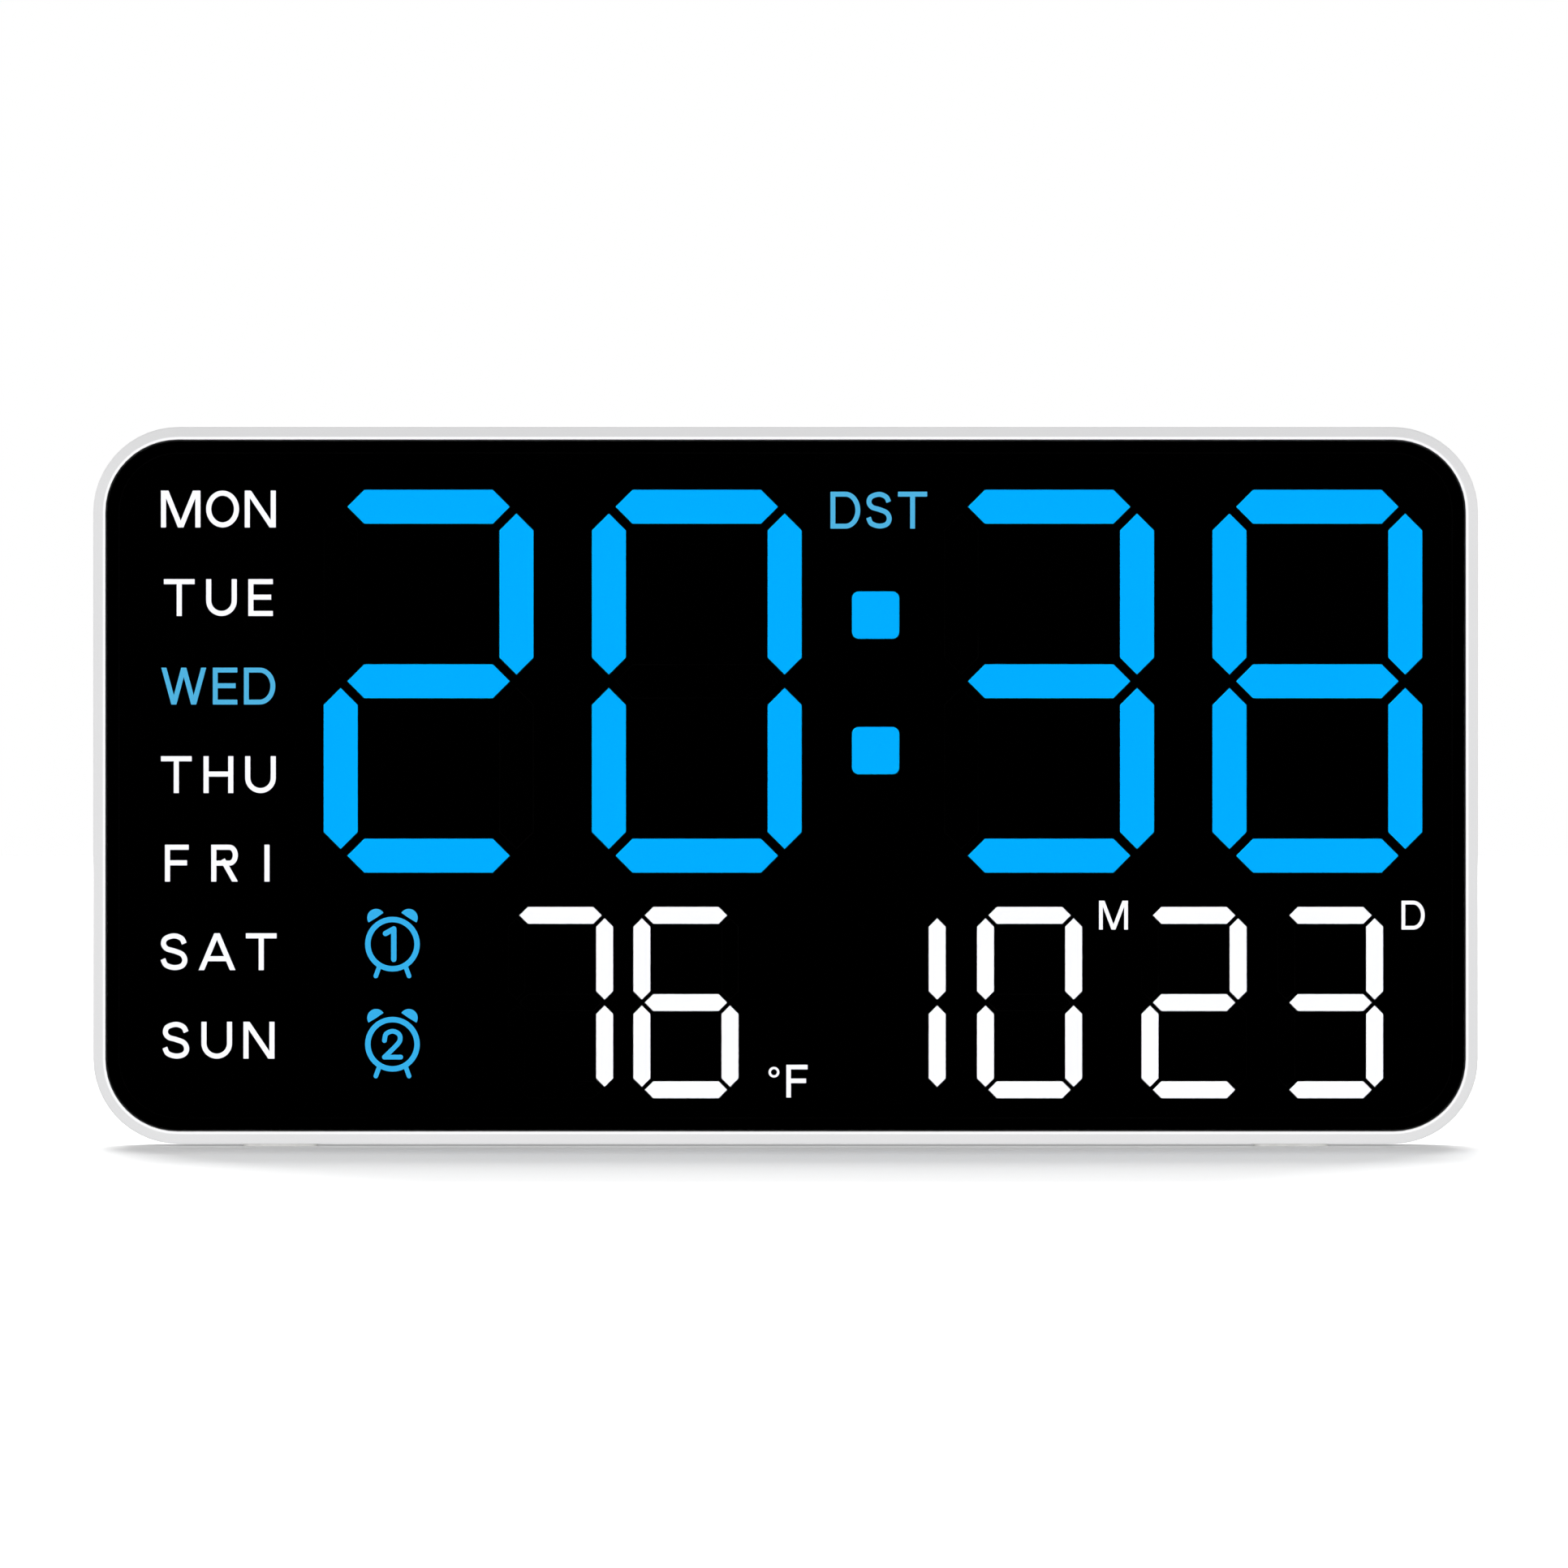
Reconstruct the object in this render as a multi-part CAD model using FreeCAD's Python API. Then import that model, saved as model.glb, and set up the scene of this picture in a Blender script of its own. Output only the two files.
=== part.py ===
import FreeCAD
import Part

import math
import os
from types import SimpleNamespace

# Day clock: a lit segment display in a two-part case, with a fold-out stand, rear keys and a backup cell.
# Millimetres. X is to the right seen from the front, the front faces -Y and Z is up.
# The origin is on the table, under the middle of the case.

Vector = FreeCAD.Vector

# Display layout: these widths and heights add up to the front lens
word_margin = 10.2
word_width = 21.7
word_height = 7.0
word_pitch = 16.62
first_word_drop = 12.8
word_count = 7
word_to_time = 8.9
digit_stroke = 6.4
digit_pitch_x = 33.0
digit_pitch_z = 32.75
digit_bar_gap = 1.75
pair_space = 10.95
colon_space = 26.75
right_margin = 8.0
top_margin = 9.3
row_space = 6.4
small_stroke = 3.2
small_pitch_x = 16.55
small_pitch_z = 16.37
small_bar_gap = 0.75
bottom_margin = 6.1

# Display layout: places within those rows
colon_side = 8.9
colon_corner = 1.3
colon_pitch = 25.43
colon_shift = 0.5
colon_drop = 0.3
summer_time_width = 18.1
summer_time_shift = 1.0
temperature_indent = 34.6
temperature_space = 3.79
unit_space = 5.5
unit_width = 7.3
unit_height = 6.1
date_space = 5.87
month_to_day_space = 11.13
date_end_indent = 7.35
mark_side = 5.3
mark_drop = 1.5
day_mark_space = 3.3
alarm_indent = 13.0
alarm_width = 10.5
alarm_height = 13.1
alarm_pitch = 18.75
alarm_drop = 6.7

# Case
rim = 2.4
lip_land = 0.5
bevel_depth = 2.6
bevel_round = 1.2
lens_clearance = 0.1
case_corner = 16.0
case_depth = 26.0
front_depth = 17.0
wall = 2.2
skin = 2.0
back_round = 2.5
cover_reveal = 0.35
cover_lip_thickness = 1.2
cover_lip_length = 2.5
cover_lip_root = 2.5
cover_lip_clearance = 0.15

# Depth stack behind the rim
lens_setback = 0.2
lens_thickness = 2.0
lens_chamfer = 0.25
tape_width = 2.3
tape_thickness = 0.4
mask_thickness = 0.3
mask_clearance = 0.2
ledge_width = 3.2
ledge_thickness = 2.0
light_box_depth = 8.0
light_box_clearance = 0.3
light_box_plate = 1.6
light_box_wall = 1.4
digit_block_wall = 1.6
small_block_wall = 1.2
tile_seat = 1.3
tile_clearance = 0.1
tile_lip = 0.5
small_tile_lip = 0.3
well_taper = 0.9
small_well_taper = 0.3
label_border = 0.6
board_thickness = 1.6
board_clearance = 0.5
led_height = 0.8
led_length = 2.8
led_width = 2.2
led_spread = 8.0
small_led_length = 1.6
small_led_width = 1.0

# Posts and screws
cover_post_inset_x = 13.0
cover_post_inset_z = 7.3
cover_post_radius = 2.8
cover_post_rise = 1.0
cover_boss_radius = 4.2
cover_screw_seat = 2.5
cover_screw_shank = 1.45
cover_screw_length = 10.0
cover_screw_head = 2.7
cover_screw_head_height = 2.0
screw_clearance = 0.15
pilot_clearance = 0.05
pilot_depth_past_screw = 1.0
low_screw_x = 61.0
stack_post_inset = 5.1
stack_post_radius = 2.4
stack_post_bite = 1.0
board_screw_shank = 1.1
board_screw_length = 5.0
board_screw_head = 2.1
board_screw_head_height = 1.4
post_clearance = 0.3
post_rib_width = 1.6

# Feet
foot_proud = 0.4
foot_length = 14.0
foot_width = 5.0
foot_height = 1.0
foot_x = 95.0
front_foot_y = -7.0
rear_foot_y = 8.0
foot_corner = 1.5

# Fold-out stand in its pocket
pocket_depth = 5.8
pocket_wall = 1.6
pocket_bottom = 4.2
pocket_clearance = 0.6
stand_top_width = 66.0
stand_bottom_width = 56.0
stand_corner = 8.0
stand_height = 84.0
stand_setback = 0.2
stand_wall = 1.6
stand_depth = 4.2
stand_rib = 1.2
stand_rib_count = 3
barrel_radius = 2.6
hinge_pin_radius = 1.5
hinge_pin_in_barrel = 9.0
hinge_pin_in_boss = 4.4
hinge_pin_clearance = 0.05
hinge_pin_end_gap = 0.4
hinge_boss_radius = 3.6
stand_open_angle = 28.0
stand_stop_gap = 0.05
stand_heel_width = 3.2
stand_heel_length = 8.0
stand_heel_x = 20.0
stand_pad_length = 34.0
stand_pad_width = 2.8
stand_pad_height = 1.0
scoop_radius = 9.0
scoop_height = 22.0

# Rear keys
key_count = 5
key_spacing = 15.0
key_row_drop = 23.0
key_strip_length = 78.0
key_strip_width = 11.0
key_strip_depth = 1.2
key_skin = 1.8
key_radius = 3.5
key_clearance = 0.25
key_proud = 1.0
key_chamfer = 0.4
key_flange_radius = 4.75
key_flange_thickness = 0.9
key_flange_gap = 0.2
key_stem_radius = 1.6
key_travel = 0.5
key_air = 0.1
switch_side = 6.2
switch_height = 3.4
plunger_radius = 1.75
plunger_height = 1.6

# Battery well with its bayonet door
cell_radius = 10.0
cell_height = 3.2
cell_chamfer = 0.4
cell_clearance = 0.4
well_x = 78.0
well_z = 57.0
well_floor = 1.6
well_wall = 1.6
door_radius = 13.1
door_clearance = 0.3
door_plate = 1.8
door_setback = 0.2
door_hub_radius = 12.6
door_hub_depth = 1.4
door_lug_radius = 14.9
door_lug_thickness = 1.1
door_lug_half_angle = 12.0
door_lug_gap = 0.3
door_turn = 45.0
door_entry_extra_angle = 2.0
coin_slot_length = 16.0
coin_slot_width = 2.2
coin_slot_depth = 1.0
contact_thickness = 0.3
contact_width = 4.0
contact_gap = 0.05
contact_tail = 1.2
negative_offset = 5.0
cell_air = 0.15
lead_radius = 0.45
lead_end_run = 6.0
socket_x = 45.0
socket_length = 4.5
socket_width = 6.0
socket_height = 3.5
socket_pin_pitch = 2.5

# Wall hanging, sound and air
keyhole_x = 85.0
keyhole_height = 105.0
keyhole_entry_radius = 4.25
keyhole_slot_half_width = 2.2
keyhole_travel = 8.0
keyhole_pocket_depth = 4.0
keyhole_pocket_margin = 0.75
keyhole_pocket_wall = 1.5
sound_x = -78.0
sound_z = 60.0
sound_hole_radius = 0.75
sound_hole_pitch = 3.0
vent_x = -100.0
vent_z = 27.0
vent_length = 14.0
vent_width = 1.5
vent_pitch = 3.5
vent_count = 5

# Parts on the back of the board
usb_height = 40.0
usb_width = 9.0
usb_thickness = 3.2
usb_length = 7.3
usb_shell = 0.3
usb_setback = 0.5
usb_clearance = 0.3
tongue_width = 6.7
tongue_thickness = 0.7
tongue_length = 5.5
chip_z = 62.0
chip_side = 10.0
chip_height = 1.4
chip_legs = 8
driver_x = 50.0
driver_z = 92.0
driver_length = 10.0
driver_width = 6.0
driver_legs = 8
leg_pitch = 1.1
leg_width = 0.45
leg_reach = 1.1
leg_thickness = 0.3
crystal_x = 16.0
crystal_length = 10.0
crystal_width = 4.0
crystal_height = 3.2
capacitor_x = 108.0
capacitor_radius = 3.15
capacitor_height = 5.5
can_chamfer = 0.4
buzzer_radius = 6.0
buzzer_height = 5.5
buzzer_hole_radius = 1.2
buzzer_hole_depth = 1.5
sensor_height = 4.0
sensor_radius = 1.5
sensor_thickness = 1.2
sensor_leg_radius = 0.3
sensor_leg_spacing = 2.0

over = 1.0  # how far a cutting tool runs past the face that it opens
round_end_flat = 0.01  # the least flat left between the two arcs of a round end

# Sizes that follow from the layout
digit_width = digit_pitch_x + digit_stroke
digit_height = 2 * digit_pitch_z + digit_stroke
small_width = small_pitch_x + small_stroke
small_height = 2 * small_pitch_z + small_stroke
lens_width = (
    word_margin + word_width + word_to_time + 4 * digit_width + 2 * pair_space + colon_space + right_margin
)

# The lens is as tall as the taller of two columns, each with its margins: the figures or the weekday words.
figures_height = top_margin + digit_height + row_space + small_height + bottom_margin
words_height = first_word_drop + (word_count - 1) * word_pitch + first_word_drop
lens_height = max(figures_height, words_height)

case_width = lens_width + 2 * (lens_clearance + rim)
case_height = lens_height + 2 * (lens_clearance + rim)
middle_z = foot_proud + case_height / 2
key_row_z = foot_proud + case_height - key_row_drop

# Outlines, as their distance inside the case outline
lens_inset = rim + lens_clearance
ledge_inset = rim + ledge_width
mask_inset = lens_inset + tape_width + mask_clearance
light_box_inset = ledge_inset + light_box_clearance
board_inset = wall + board_clearance
cover_wall_inset = cover_reveal + wall
cover_lip_inset = wall + cover_lip_clearance

# Planes along Y, from the front to the back
case_front = -case_depth / 2
lens_front = case_front + lens_setback
lens_back = lens_front + lens_thickness
ledge_front = lens_back + tape_thickness
mask_front = ledge_front - mask_thickness
tile_back = ledge_front + tile_seat
ledge_back = ledge_front + ledge_thickness
board_front = ledge_front + light_box_depth
board_back = board_front + board_thickness
board_pilot_bottom = board_back - board_screw_length - pilot_clearance
parting = case_front + front_depth
case_back = case_front + case_depth
skin_inside = case_back - skin
post_top = parting + cover_post_rise
screw_seat = post_top + cover_screw_seat
pocket_floor = case_back - pocket_depth
strip_floor = case_back - key_strip_depth
stand_face = case_back - stand_setback
hinge_y = stand_face - barrel_radius
stand_bottom = pocket_bottom + pocket_clearance + stand_pad_height
hinge_z = stand_bottom + stand_height - barrel_radius
stand_slope = (stand_top_width - stand_bottom_width) / 2 / stand_height
stand_half_at_hinge = stand_bottom_width / 2 + stand_slope * (hinge_z - stand_bottom)
stand_heel_reach = hinge_y - pocket_floor - stand_stop_gap
door_face = case_back - door_setback
cell_top = door_face - door_plate - door_hub_depth - cell_air
cell_bottom = cell_top - cell_height
well_floor_top = cell_bottom - 2 * contact_thickness
well_bottom = well_floor_top - well_floor
groove_floor = skin_inside - door_lug_gap - door_lug_thickness - door_lug_gap
strip_x = well_x - cell_radius - contact_gap
CONTACT_TAILS = ((strip_x, well_z), (well_x - negative_offset, well_z - negative_offset))

# Places of the rows and columns on the display
time_left = -lens_width / 2 + word_margin + word_width + word_to_time
hour_tens_x = time_left + digit_width / 2
hour_ones_x = hour_tens_x + digit_width + pair_space
minute_tens_x = hour_ones_x + digit_width + colon_space
minute_ones_x = minute_tens_x + digit_width + pair_space
time_z = middle_z + lens_height / 2 - top_margin - digit_height / 2
colon_x = (hour_ones_x + minute_tens_x) / 2 + colon_shift
colon_z = time_z - colon_drop
small_top = time_z - digit_height / 2 - row_space
small_z = small_top - small_height / 2
temperature_tens_x = time_left + temperature_indent + small_width / 2
temperature_ones_x = temperature_tens_x + small_width + temperature_space
day_ones_x = minute_ones_x + digit_width / 2 - date_end_indent - small_width / 2
day_tens_x = day_ones_x - small_width - date_space
month_ones_x = day_tens_x - small_width - month_to_day_space
month_tens_x = month_ones_x - small_width - date_space
word_x = -lens_width / 2 + word_margin + word_width / 2
first_word_z = middle_z + lens_height / 2 - first_word_drop
month_gap_x = (month_ones_x + day_tens_x) / 2

# Bars of a seven-bar digit: centre in pitches from the digit's centre, and whether the bar is upright
BAR_PLACES = {
    "a": (0.0, 1.0, False),
    "b": (0.5, 0.5, True),
    "c": (0.5, -0.5, True),
    "d": (0.0, -1.0, False),
    "e": (-0.5, -0.5, True),
    "f": (-0.5, 0.5, True),
    "g": (0.0, 0.0, False),
}
BARS_LIT = {"0": "abcdef", "1": "bc", "2": "abdeg", "3": "abcdg", "6": "acdefg", "7": "abc", "8": "abcdefg"}

BIG = SimpleNamespace(
    stroke=digit_stroke,
    pitch_x=digit_pitch_x,
    pitch_z=digit_pitch_z,
    gap=digit_bar_gap,
    block_wall=digit_block_wall,
    lip=tile_lip,
    taper=well_taper,
    leds=(-0.5, 0.5),
    led_length=led_length,
    led_width=led_width,
)
SMALL = SimpleNamespace(
    stroke=small_stroke,
    pitch_x=small_pitch_x,
    pitch_z=small_pitch_z,
    gap=small_bar_gap,
    block_wall=small_block_wall,
    lip=small_tile_lip,
    taper=small_well_taper,
    leds=(0.0,),
    led_length=small_led_length,
    led_width=small_led_width,
)


def digit(x, z, size, reading, bars="abcdefg"):
    """A digit of the display: its centre, its size, the figure it shows and the bars it is built with."""
    return SimpleNamespace(x=x, z=z, size=size, reading=reading, bars=bars)


TIME_DIGITS = (
    digit(hour_tens_x, time_z, BIG, "2"),
    digit(hour_ones_x, time_z, BIG, "0"),
    digit(minute_tens_x, time_z, BIG, "3"),
    digit(minute_ones_x, time_z, BIG, "8"),
)
CALENDAR_DIGITS = (
    digit(temperature_tens_x, small_z, SMALL, "7"),
    digit(temperature_ones_x, small_z, SMALL, "6"),
    digit(month_tens_x, small_z, SMALL, "1", bars="bc"),
    digit(month_ones_x, small_z, SMALL, "0"),
    digit(day_tens_x, small_z, SMALL, "2"),
    digit(day_ones_x, small_z, SMALL, "3"),
)


def label(x, z, width, height, leds):
    """A backlit word or sign: its centre and size, with its LEDs as shares of the width from the centre."""
    return SimpleNamespace(x=x, z=z, width=width, height=height, leds=leds)


def display_labels():
    """The seven weekday words, the summer-time sign, two alarm signs, month and day marks and the unit."""
    labels = []
    for row in range(word_count):
        labels.append(label(word_x, first_word_z - row * word_pitch, word_width, word_height, (-0.25, 0.25)))
    gap_x = (hour_ones_x + minute_tens_x) / 2
    labels.append(
        label(gap_x + summer_time_shift, first_word_z, summer_time_width, word_height, (-0.25, 0.25))
    )
    alarm_x = time_left + alarm_indent
    first_alarm_z = small_top - alarm_drop
    for row in range(2):
        labels.append(label(alarm_x, first_alarm_z - row * alarm_pitch, alarm_width, alarm_height, (0.0,)))
    mark_z = small_top - mark_drop
    day_mark_x = day_ones_x + small_width / 2 + day_mark_space + mark_side / 2
    labels.append(label(month_gap_x, mark_z, mark_side, mark_side, (0.0,)))
    labels.append(label(day_mark_x, mark_z, mark_side, mark_side, (0.0,)))
    unit_x = temperature_ones_x + small_width / 2 + unit_space + unit_width / 2
    unit_z = small_z - small_height / 2 + unit_height / 2
    labels.append(label(unit_x, unit_z, unit_width, unit_height, (0.0,)))
    return labels


LABELS = display_labels()
COLON_DOTS = tuple((colon_x, colon_z + side * colon_pitch / 2) for side in (1, -1))

# Screw places, as (x, z)
cover_post_x = case_width / 2 - cover_post_inset_x
cover_post_up = case_height / 2 - cover_post_inset_z
COVER_SCREWS = (
    (-cover_post_x, middle_z + cover_post_up),
    (colon_x, middle_z + cover_post_up),
    (cover_post_x, middle_z + cover_post_up),
    (-cover_post_x, middle_z - cover_post_up),
    (-low_screw_x, middle_z - cover_post_up),
    (low_screw_x, middle_z - cover_post_up),
    (cover_post_x, middle_z - cover_post_up),
)
stack_post_up = case_height / 2 - stack_post_inset
icon_gap_x = (word_x + word_width / 2 + time_left + alarm_indent - alarm_width / 2) / 2
unit_end_x = temperature_ones_x + small_width / 2 + unit_space + unit_width
unit_gap_x = (unit_end_x + month_tens_x + (small_pitch_x - small_stroke) / 2) / 2
STACK_SCREWS = (
    ((hour_tens_x + hour_ones_x) / 2, middle_z + stack_post_up),
    ((minute_tens_x + minute_ones_x) / 2, middle_z + stack_post_up),
    (icon_gap_x, middle_z - stack_post_up),
    (unit_gap_x, middle_z - stack_post_up),
)
LIGHT_BOX_SCREWS = (
    ((hour_tens_x + hour_ones_x) / 2, time_z),
    (colon_x, colon_z),
    ((minute_tens_x + minute_ones_x) / 2, time_z),
    (icon_gap_x, small_z),
    ((day_tens_x + day_ones_x) / 2, small_z),
)


# Basic forms

def box(x0, x1, y0, y1, z0, z1):
    """A block between its two limits along each axis."""
    return Part.makeBox(x1 - x0, y1 - y0, z1 - z0, Vector(x0, y0, z0))


def rod(x, z, radius, y0, y1):
    """A round bar along Y."""
    return Part.makeCylinder(radius, y1 - y0, Vector(x, y0, z), Vector(0, 1, 0))


def along_y(face, y0, y1):
    """A face in the plane y0, drawn out to y1."""
    return face.extrude(Vector(0, y1 - y0, 0))


def rounded_face(corners, y):
    """A face across Y from its corners (x, z, radius), each rounded by an arc tangent to its sides."""
    count = len(corners)
    edges = []
    starts = []
    ends = []
    for index, (x, z, radius) in enumerate(corners):
        here = Vector(x, y, z)
        before = Vector(corners[index - 1][0], y, corners[index - 1][1]) - here
        after = Vector(corners[(index + 1) % count][0], y, corners[(index + 1) % count][1]) - here
        before.normalize()
        after.normalize()
        half_angle = before.getAngle(after) / 2
        setback = radius / math.tan(half_angle)
        start = here + before * setback
        end = here + after * setback
        starts.append(start)
        ends.append(end)
        if radius > 0:
            bisector = before + after
            bisector.normalize()
            middle = here + bisector * (radius / math.sin(half_angle) - radius)
            edges.append(Part.Arc(start, middle, end).toShape())
    for index in range(count):
        following = starts[(index + 1) % count]
        if (following - ends[index]).Length > 1e-6:
            edges.append(Part.LineSegment(ends[index], following).toShape())
    return Part.Face(Part.Wire(Part.__sortEdges__(edges)))


def rounded_block(x0, x1, y0, y1, z0, z1, radius):
    """A block along Y with its four long edges rounded."""
    corners = ((x0, z0, radius), (x1, z0, radius), (x1, z1, radius), (x0, z1, radius))
    return along_y(rounded_face(corners, y0), y0, y1)


def case_block(inset, y0, y1):
    """A block along Y with the case's outline, drawn in by inset all round."""
    half = case_width / 2 - inset
    low = foot_proud + inset
    high = foot_proud + case_height - inset
    return rounded_block(-half, half, y0, y1, low, high, case_corner - inset)


def polygon_block(points, y0, y1):
    """A block along Y from the (x, z) corners of its end."""
    corners = [Vector(x, y0, z) for x, z in points]
    return along_y(Part.Face(Part.makePolygon(corners + corners[:1])), y0, y1)


def frustum(front_points, y0, back_points, y1):
    """A flat-sided solid between two outlines that have matching corners."""
    front = [Vector(x, y0, z) for x, z in front_points]
    back = [Vector(x, y1, z) for x, z in back_points]
    faces = [Part.Face(Part.makePolygon(ring + ring[:1])) for ring in (front, back)]
    for index in range(len(front)):
        side = [front[index - 1], front[index], back[index], back[index - 1]]
        faces.append(Part.Face(Part.makePolygon(side + side[:1])))
    solid = Part.makeSolid(Part.makeShell(faces))
    if solid.Volume < 0:
        solid.reverse()
    return solid


def sector(x, z, inner, outer, middle_angle, half_angle, y0, y1):
    """A piece of a ring around an axis along Y. Its angles are in degrees from +X towards +Z."""
    def at(radius, angle):
        turn = math.radians(angle)
        return Vector(x + radius * math.cos(turn), y0, z + radius * math.sin(turn))
    first = middle_angle - half_angle
    last = middle_angle + half_angle
    edges = [
        Part.Arc(at(outer, first), at(outer, middle_angle), at(outer, last)).toShape(),
        Part.LineSegment(at(outer, last), at(inner, last)).toShape(),
        Part.Arc(at(inner, last), at(inner, middle_angle), at(inner, first)).toShape(),
        Part.LineSegment(at(inner, first), at(outer, first)).toShape(),
    ]
    return along_y(Part.Face(Part.Wire(edges)), y0, y1)


def edges_on_plane(shape, y):
    """The edges of a shape that lie in the plane y."""
    return [edge for edge in shape.Edges if all(abs(vertex.Y - y) < 1e-6 for vertex in edge.Vertexes)]


def joined(shapes):
    """Several solids fused into one, with the seams between flush faces taken out."""
    first, *rest = shapes
    return first.multiFuse(rest).removeSplitter()


# Display openings: bars, dots and labels, each with its outline, seat and light well

def bar_outline(x, z, length, stroke, upright, inset=0.0):
    """The corners of a bar with 45 degree points, drawn in by inset on every side."""
    tip = length / 2 - inset * math.sqrt(2)
    half = stroke / 2 - inset
    shoulder = tip - half
    shape = ((-tip, 0), (-shoulder, half), (shoulder, half), (tip, 0), (shoulder, -half), (-shoulder, -half))
    if upright:
        return [(x - across, z + along) for along, across in shape]
    return [(x + along, z + across) for along, across in shape]


def bars_of(figure):
    """Each bar of a digit: its letter, centre, length and whether it is upright."""
    size = figure.size
    for letter in figure.bars:
        step_x, step_z, upright = BAR_PLACES[letter]
        pitch = size.pitch_z if upright else size.pitch_x
        length = pitch - size.gap * math.sqrt(2)
        yield letter, figure.x + step_x * size.pitch_x, figure.z + step_z * size.pitch_z, length, upright


def bar_blocks(figures, y0, y1, inset=0.0, wanted=None):
    """Blocks over the bars of some digits. wanted says by figure and letter which bars to take."""
    blocks = []
    for figure in figures:
        for letter, x, z, length, upright in bars_of(figure):
            if wanted is None or wanted(figure, letter):
                outline = bar_outline(x, z, length, figure.size.stroke, upright, inset)
                blocks.append(polygon_block(outline, y0, y1))
    return blocks


def dot_blocks(y0, y1, inset=0.0):
    """Blocks over the two dots of the colon."""
    half = colon_side / 2 - inset
    radius = colon_corner - inset
    return [
        rounded_block(x - half, x + half, y0, y1, z - half, z + half, radius) for x, z in COLON_DOTS
    ]


def rectangle(x, z, width, height, inset=0.0):
    """The corners of a rectangle, drawn in by inset on every side."""
    half_x = width / 2 - inset
    half_z = height / 2 - inset
    left, right, low, high = x - half_x, x + half_x, z - half_z, z + half_z
    return [(left, low), (right, low), (right, high), (left, high)]


def label_blocks(y0, y1, grow):
    """Blocks over the words and signs, larger than the lettering by grow on every side."""
    return [
        polygon_block(rectangle(item.x, item.z, item.width, item.height, -grow), y0, y1) for item in LABELS
    ]


def lit(figure, letter):
    return letter in BARS_LIT[figure.reading]


def unlit(figure, letter):
    return not lit(figure, letter)


def light_wells():
    """The seats of the diffusers, and the wells that narrow from them to the LEDs."""
    past_back = board_front + over
    cuts = []
    for figure in TIME_DIGITS + CALENDAR_DIGITS:
        size = figure.size
        for _, x, z, length, upright in bars_of(figure):
            seat = bar_outline(x, z, length, size.stroke, upright)
            wide = bar_outline(x, z, length, size.stroke, upright, size.lip)
            narrow = bar_outline(x, z, length, size.stroke, upright, size.lip + size.taper)
            cuts.append(polygon_block(seat, ledge_front - over, tile_back))
            cuts.append(frustum(wide, tile_back - over / 2, narrow, past_back))
    cuts += dot_blocks(ledge_front - over, tile_back)
    for x, z in COLON_DOTS:
        wide = rectangle(x, z, colon_side, colon_side, tile_lip)
        narrow = rectangle(x, z, colon_side, colon_side, tile_lip + well_taper)
        cuts.append(frustum(wide, tile_back - over / 2, narrow, past_back))
    cuts += label_blocks(ledge_front - over, tile_back, label_border)
    inset = tile_lip - label_border
    for item in LABELS:
        wide = rectangle(item.x, item.z, item.width, item.height, inset)
        narrow = rectangle(item.x, item.z, item.width, item.height, inset + small_well_taper)
        cuts.append(frustum(wide, tile_back - over / 2, narrow, past_back))
    return cuts


# Front housing

def posts(places, radius, y0, y1):
    """Round posts along Y at some places."""
    return [rod(x, z, radius, y0, y1) for x, z in places]


def wall_ribs():
    """Short ribs that tie each cover post to the nearest long wall, low enough to clear the cover's lip."""
    top = parting - cover_lip_length - post_clearance
    ribs = []
    for x, z in COVER_SCREWS:
        edge = foot_proud + wall / 2 if z < middle_z else foot_proud + case_height - wall / 2
        half = post_rib_width / 2
        ribs.append(box(x - half, x + half, ledge_back - over / 2, top, min(z, edge), max(z, edge)))
    return ribs


def usb_opening(grow, x0, x1):
    """The rounded slot around the USB socket, larger than its shell by grow, from x0 to x1."""
    half_z = usb_width / 2 + grow
    y0 = board_back - grow
    y1 = board_back + usb_thickness + grow
    radius = usb_thickness / 2 + grow - round_end_flat
    slot = box(x0, x1, y0, y1, usb_height - half_z, usb_height + half_z)
    long_edges = [edge for edge in slot.Edges if abs(edge.BoundBox.XLength - (x1 - x0)) < 1e-6]
    return slot.makeFillet(radius, long_edges)


def foot_blocks(grow, height):
    """The four foot pads, larger than the real ones by grow and reaching from the table to height."""
    blocks = []
    for side in (-1, 1):
        for y in (front_foot_y, rear_foot_y):
            half_x = foot_length / 2 + grow
            half_y = foot_width / 2 + grow
            x = side * foot_x
            pad = box(x - half_x, x + half_x, y - half_y, y + half_y, 0, height)
            upright_edges = [edge for edge in pad.Edges if edge.BoundBox.ZLength > height / 2]
            blocks.append(pad.makeFillet(foot_corner + grow, upright_edges))
    return blocks


def front_housing():
    body = case_block(0, case_front, parting)
    body = body.makeChamfer(bevel_depth, rim - lip_land, edges_on_plane(body, case_front))
    body = body.makeFillet(bevel_round, edges_on_plane(body, case_front + bevel_depth))
    body = body.cut([
        case_block(rim, case_front - over, ledge_front),
        case_block(ledge_inset, ledge_front - over, ledge_back + over),
        case_block(wall, ledge_back, parting + over),
    ])
    post_root = ledge_back - stack_post_bite
    body = joined(
        [body]
        + posts(COVER_SCREWS, cover_post_radius, post_root, post_top)
        + posts(STACK_SCREWS, stack_post_radius, post_root, board_front)
        + wall_ribs()
    )
    pilot_bottom = screw_seat - cover_screw_length - pilot_depth_past_screw
    pilots = posts(COVER_SCREWS, cover_screw_shank + pilot_clearance, pilot_bottom, post_top + over)
    pilots += posts(STACK_SCREWS, board_screw_shank + pilot_clearance, board_pilot_bottom, board_front + over)
    port = usb_opening(usb_clearance, case_width / 2 - wall - over, case_width / 2 + over)
    return body.cut(pilots + [port] + foot_blocks(0, foot_height))


# Lens, tape and mask

def front_lens():
    lens = case_block(lens_inset, lens_front, lens_back)
    return lens.makeChamfer(lens_chamfer, edges_on_plane(lens, lens_front))


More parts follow.
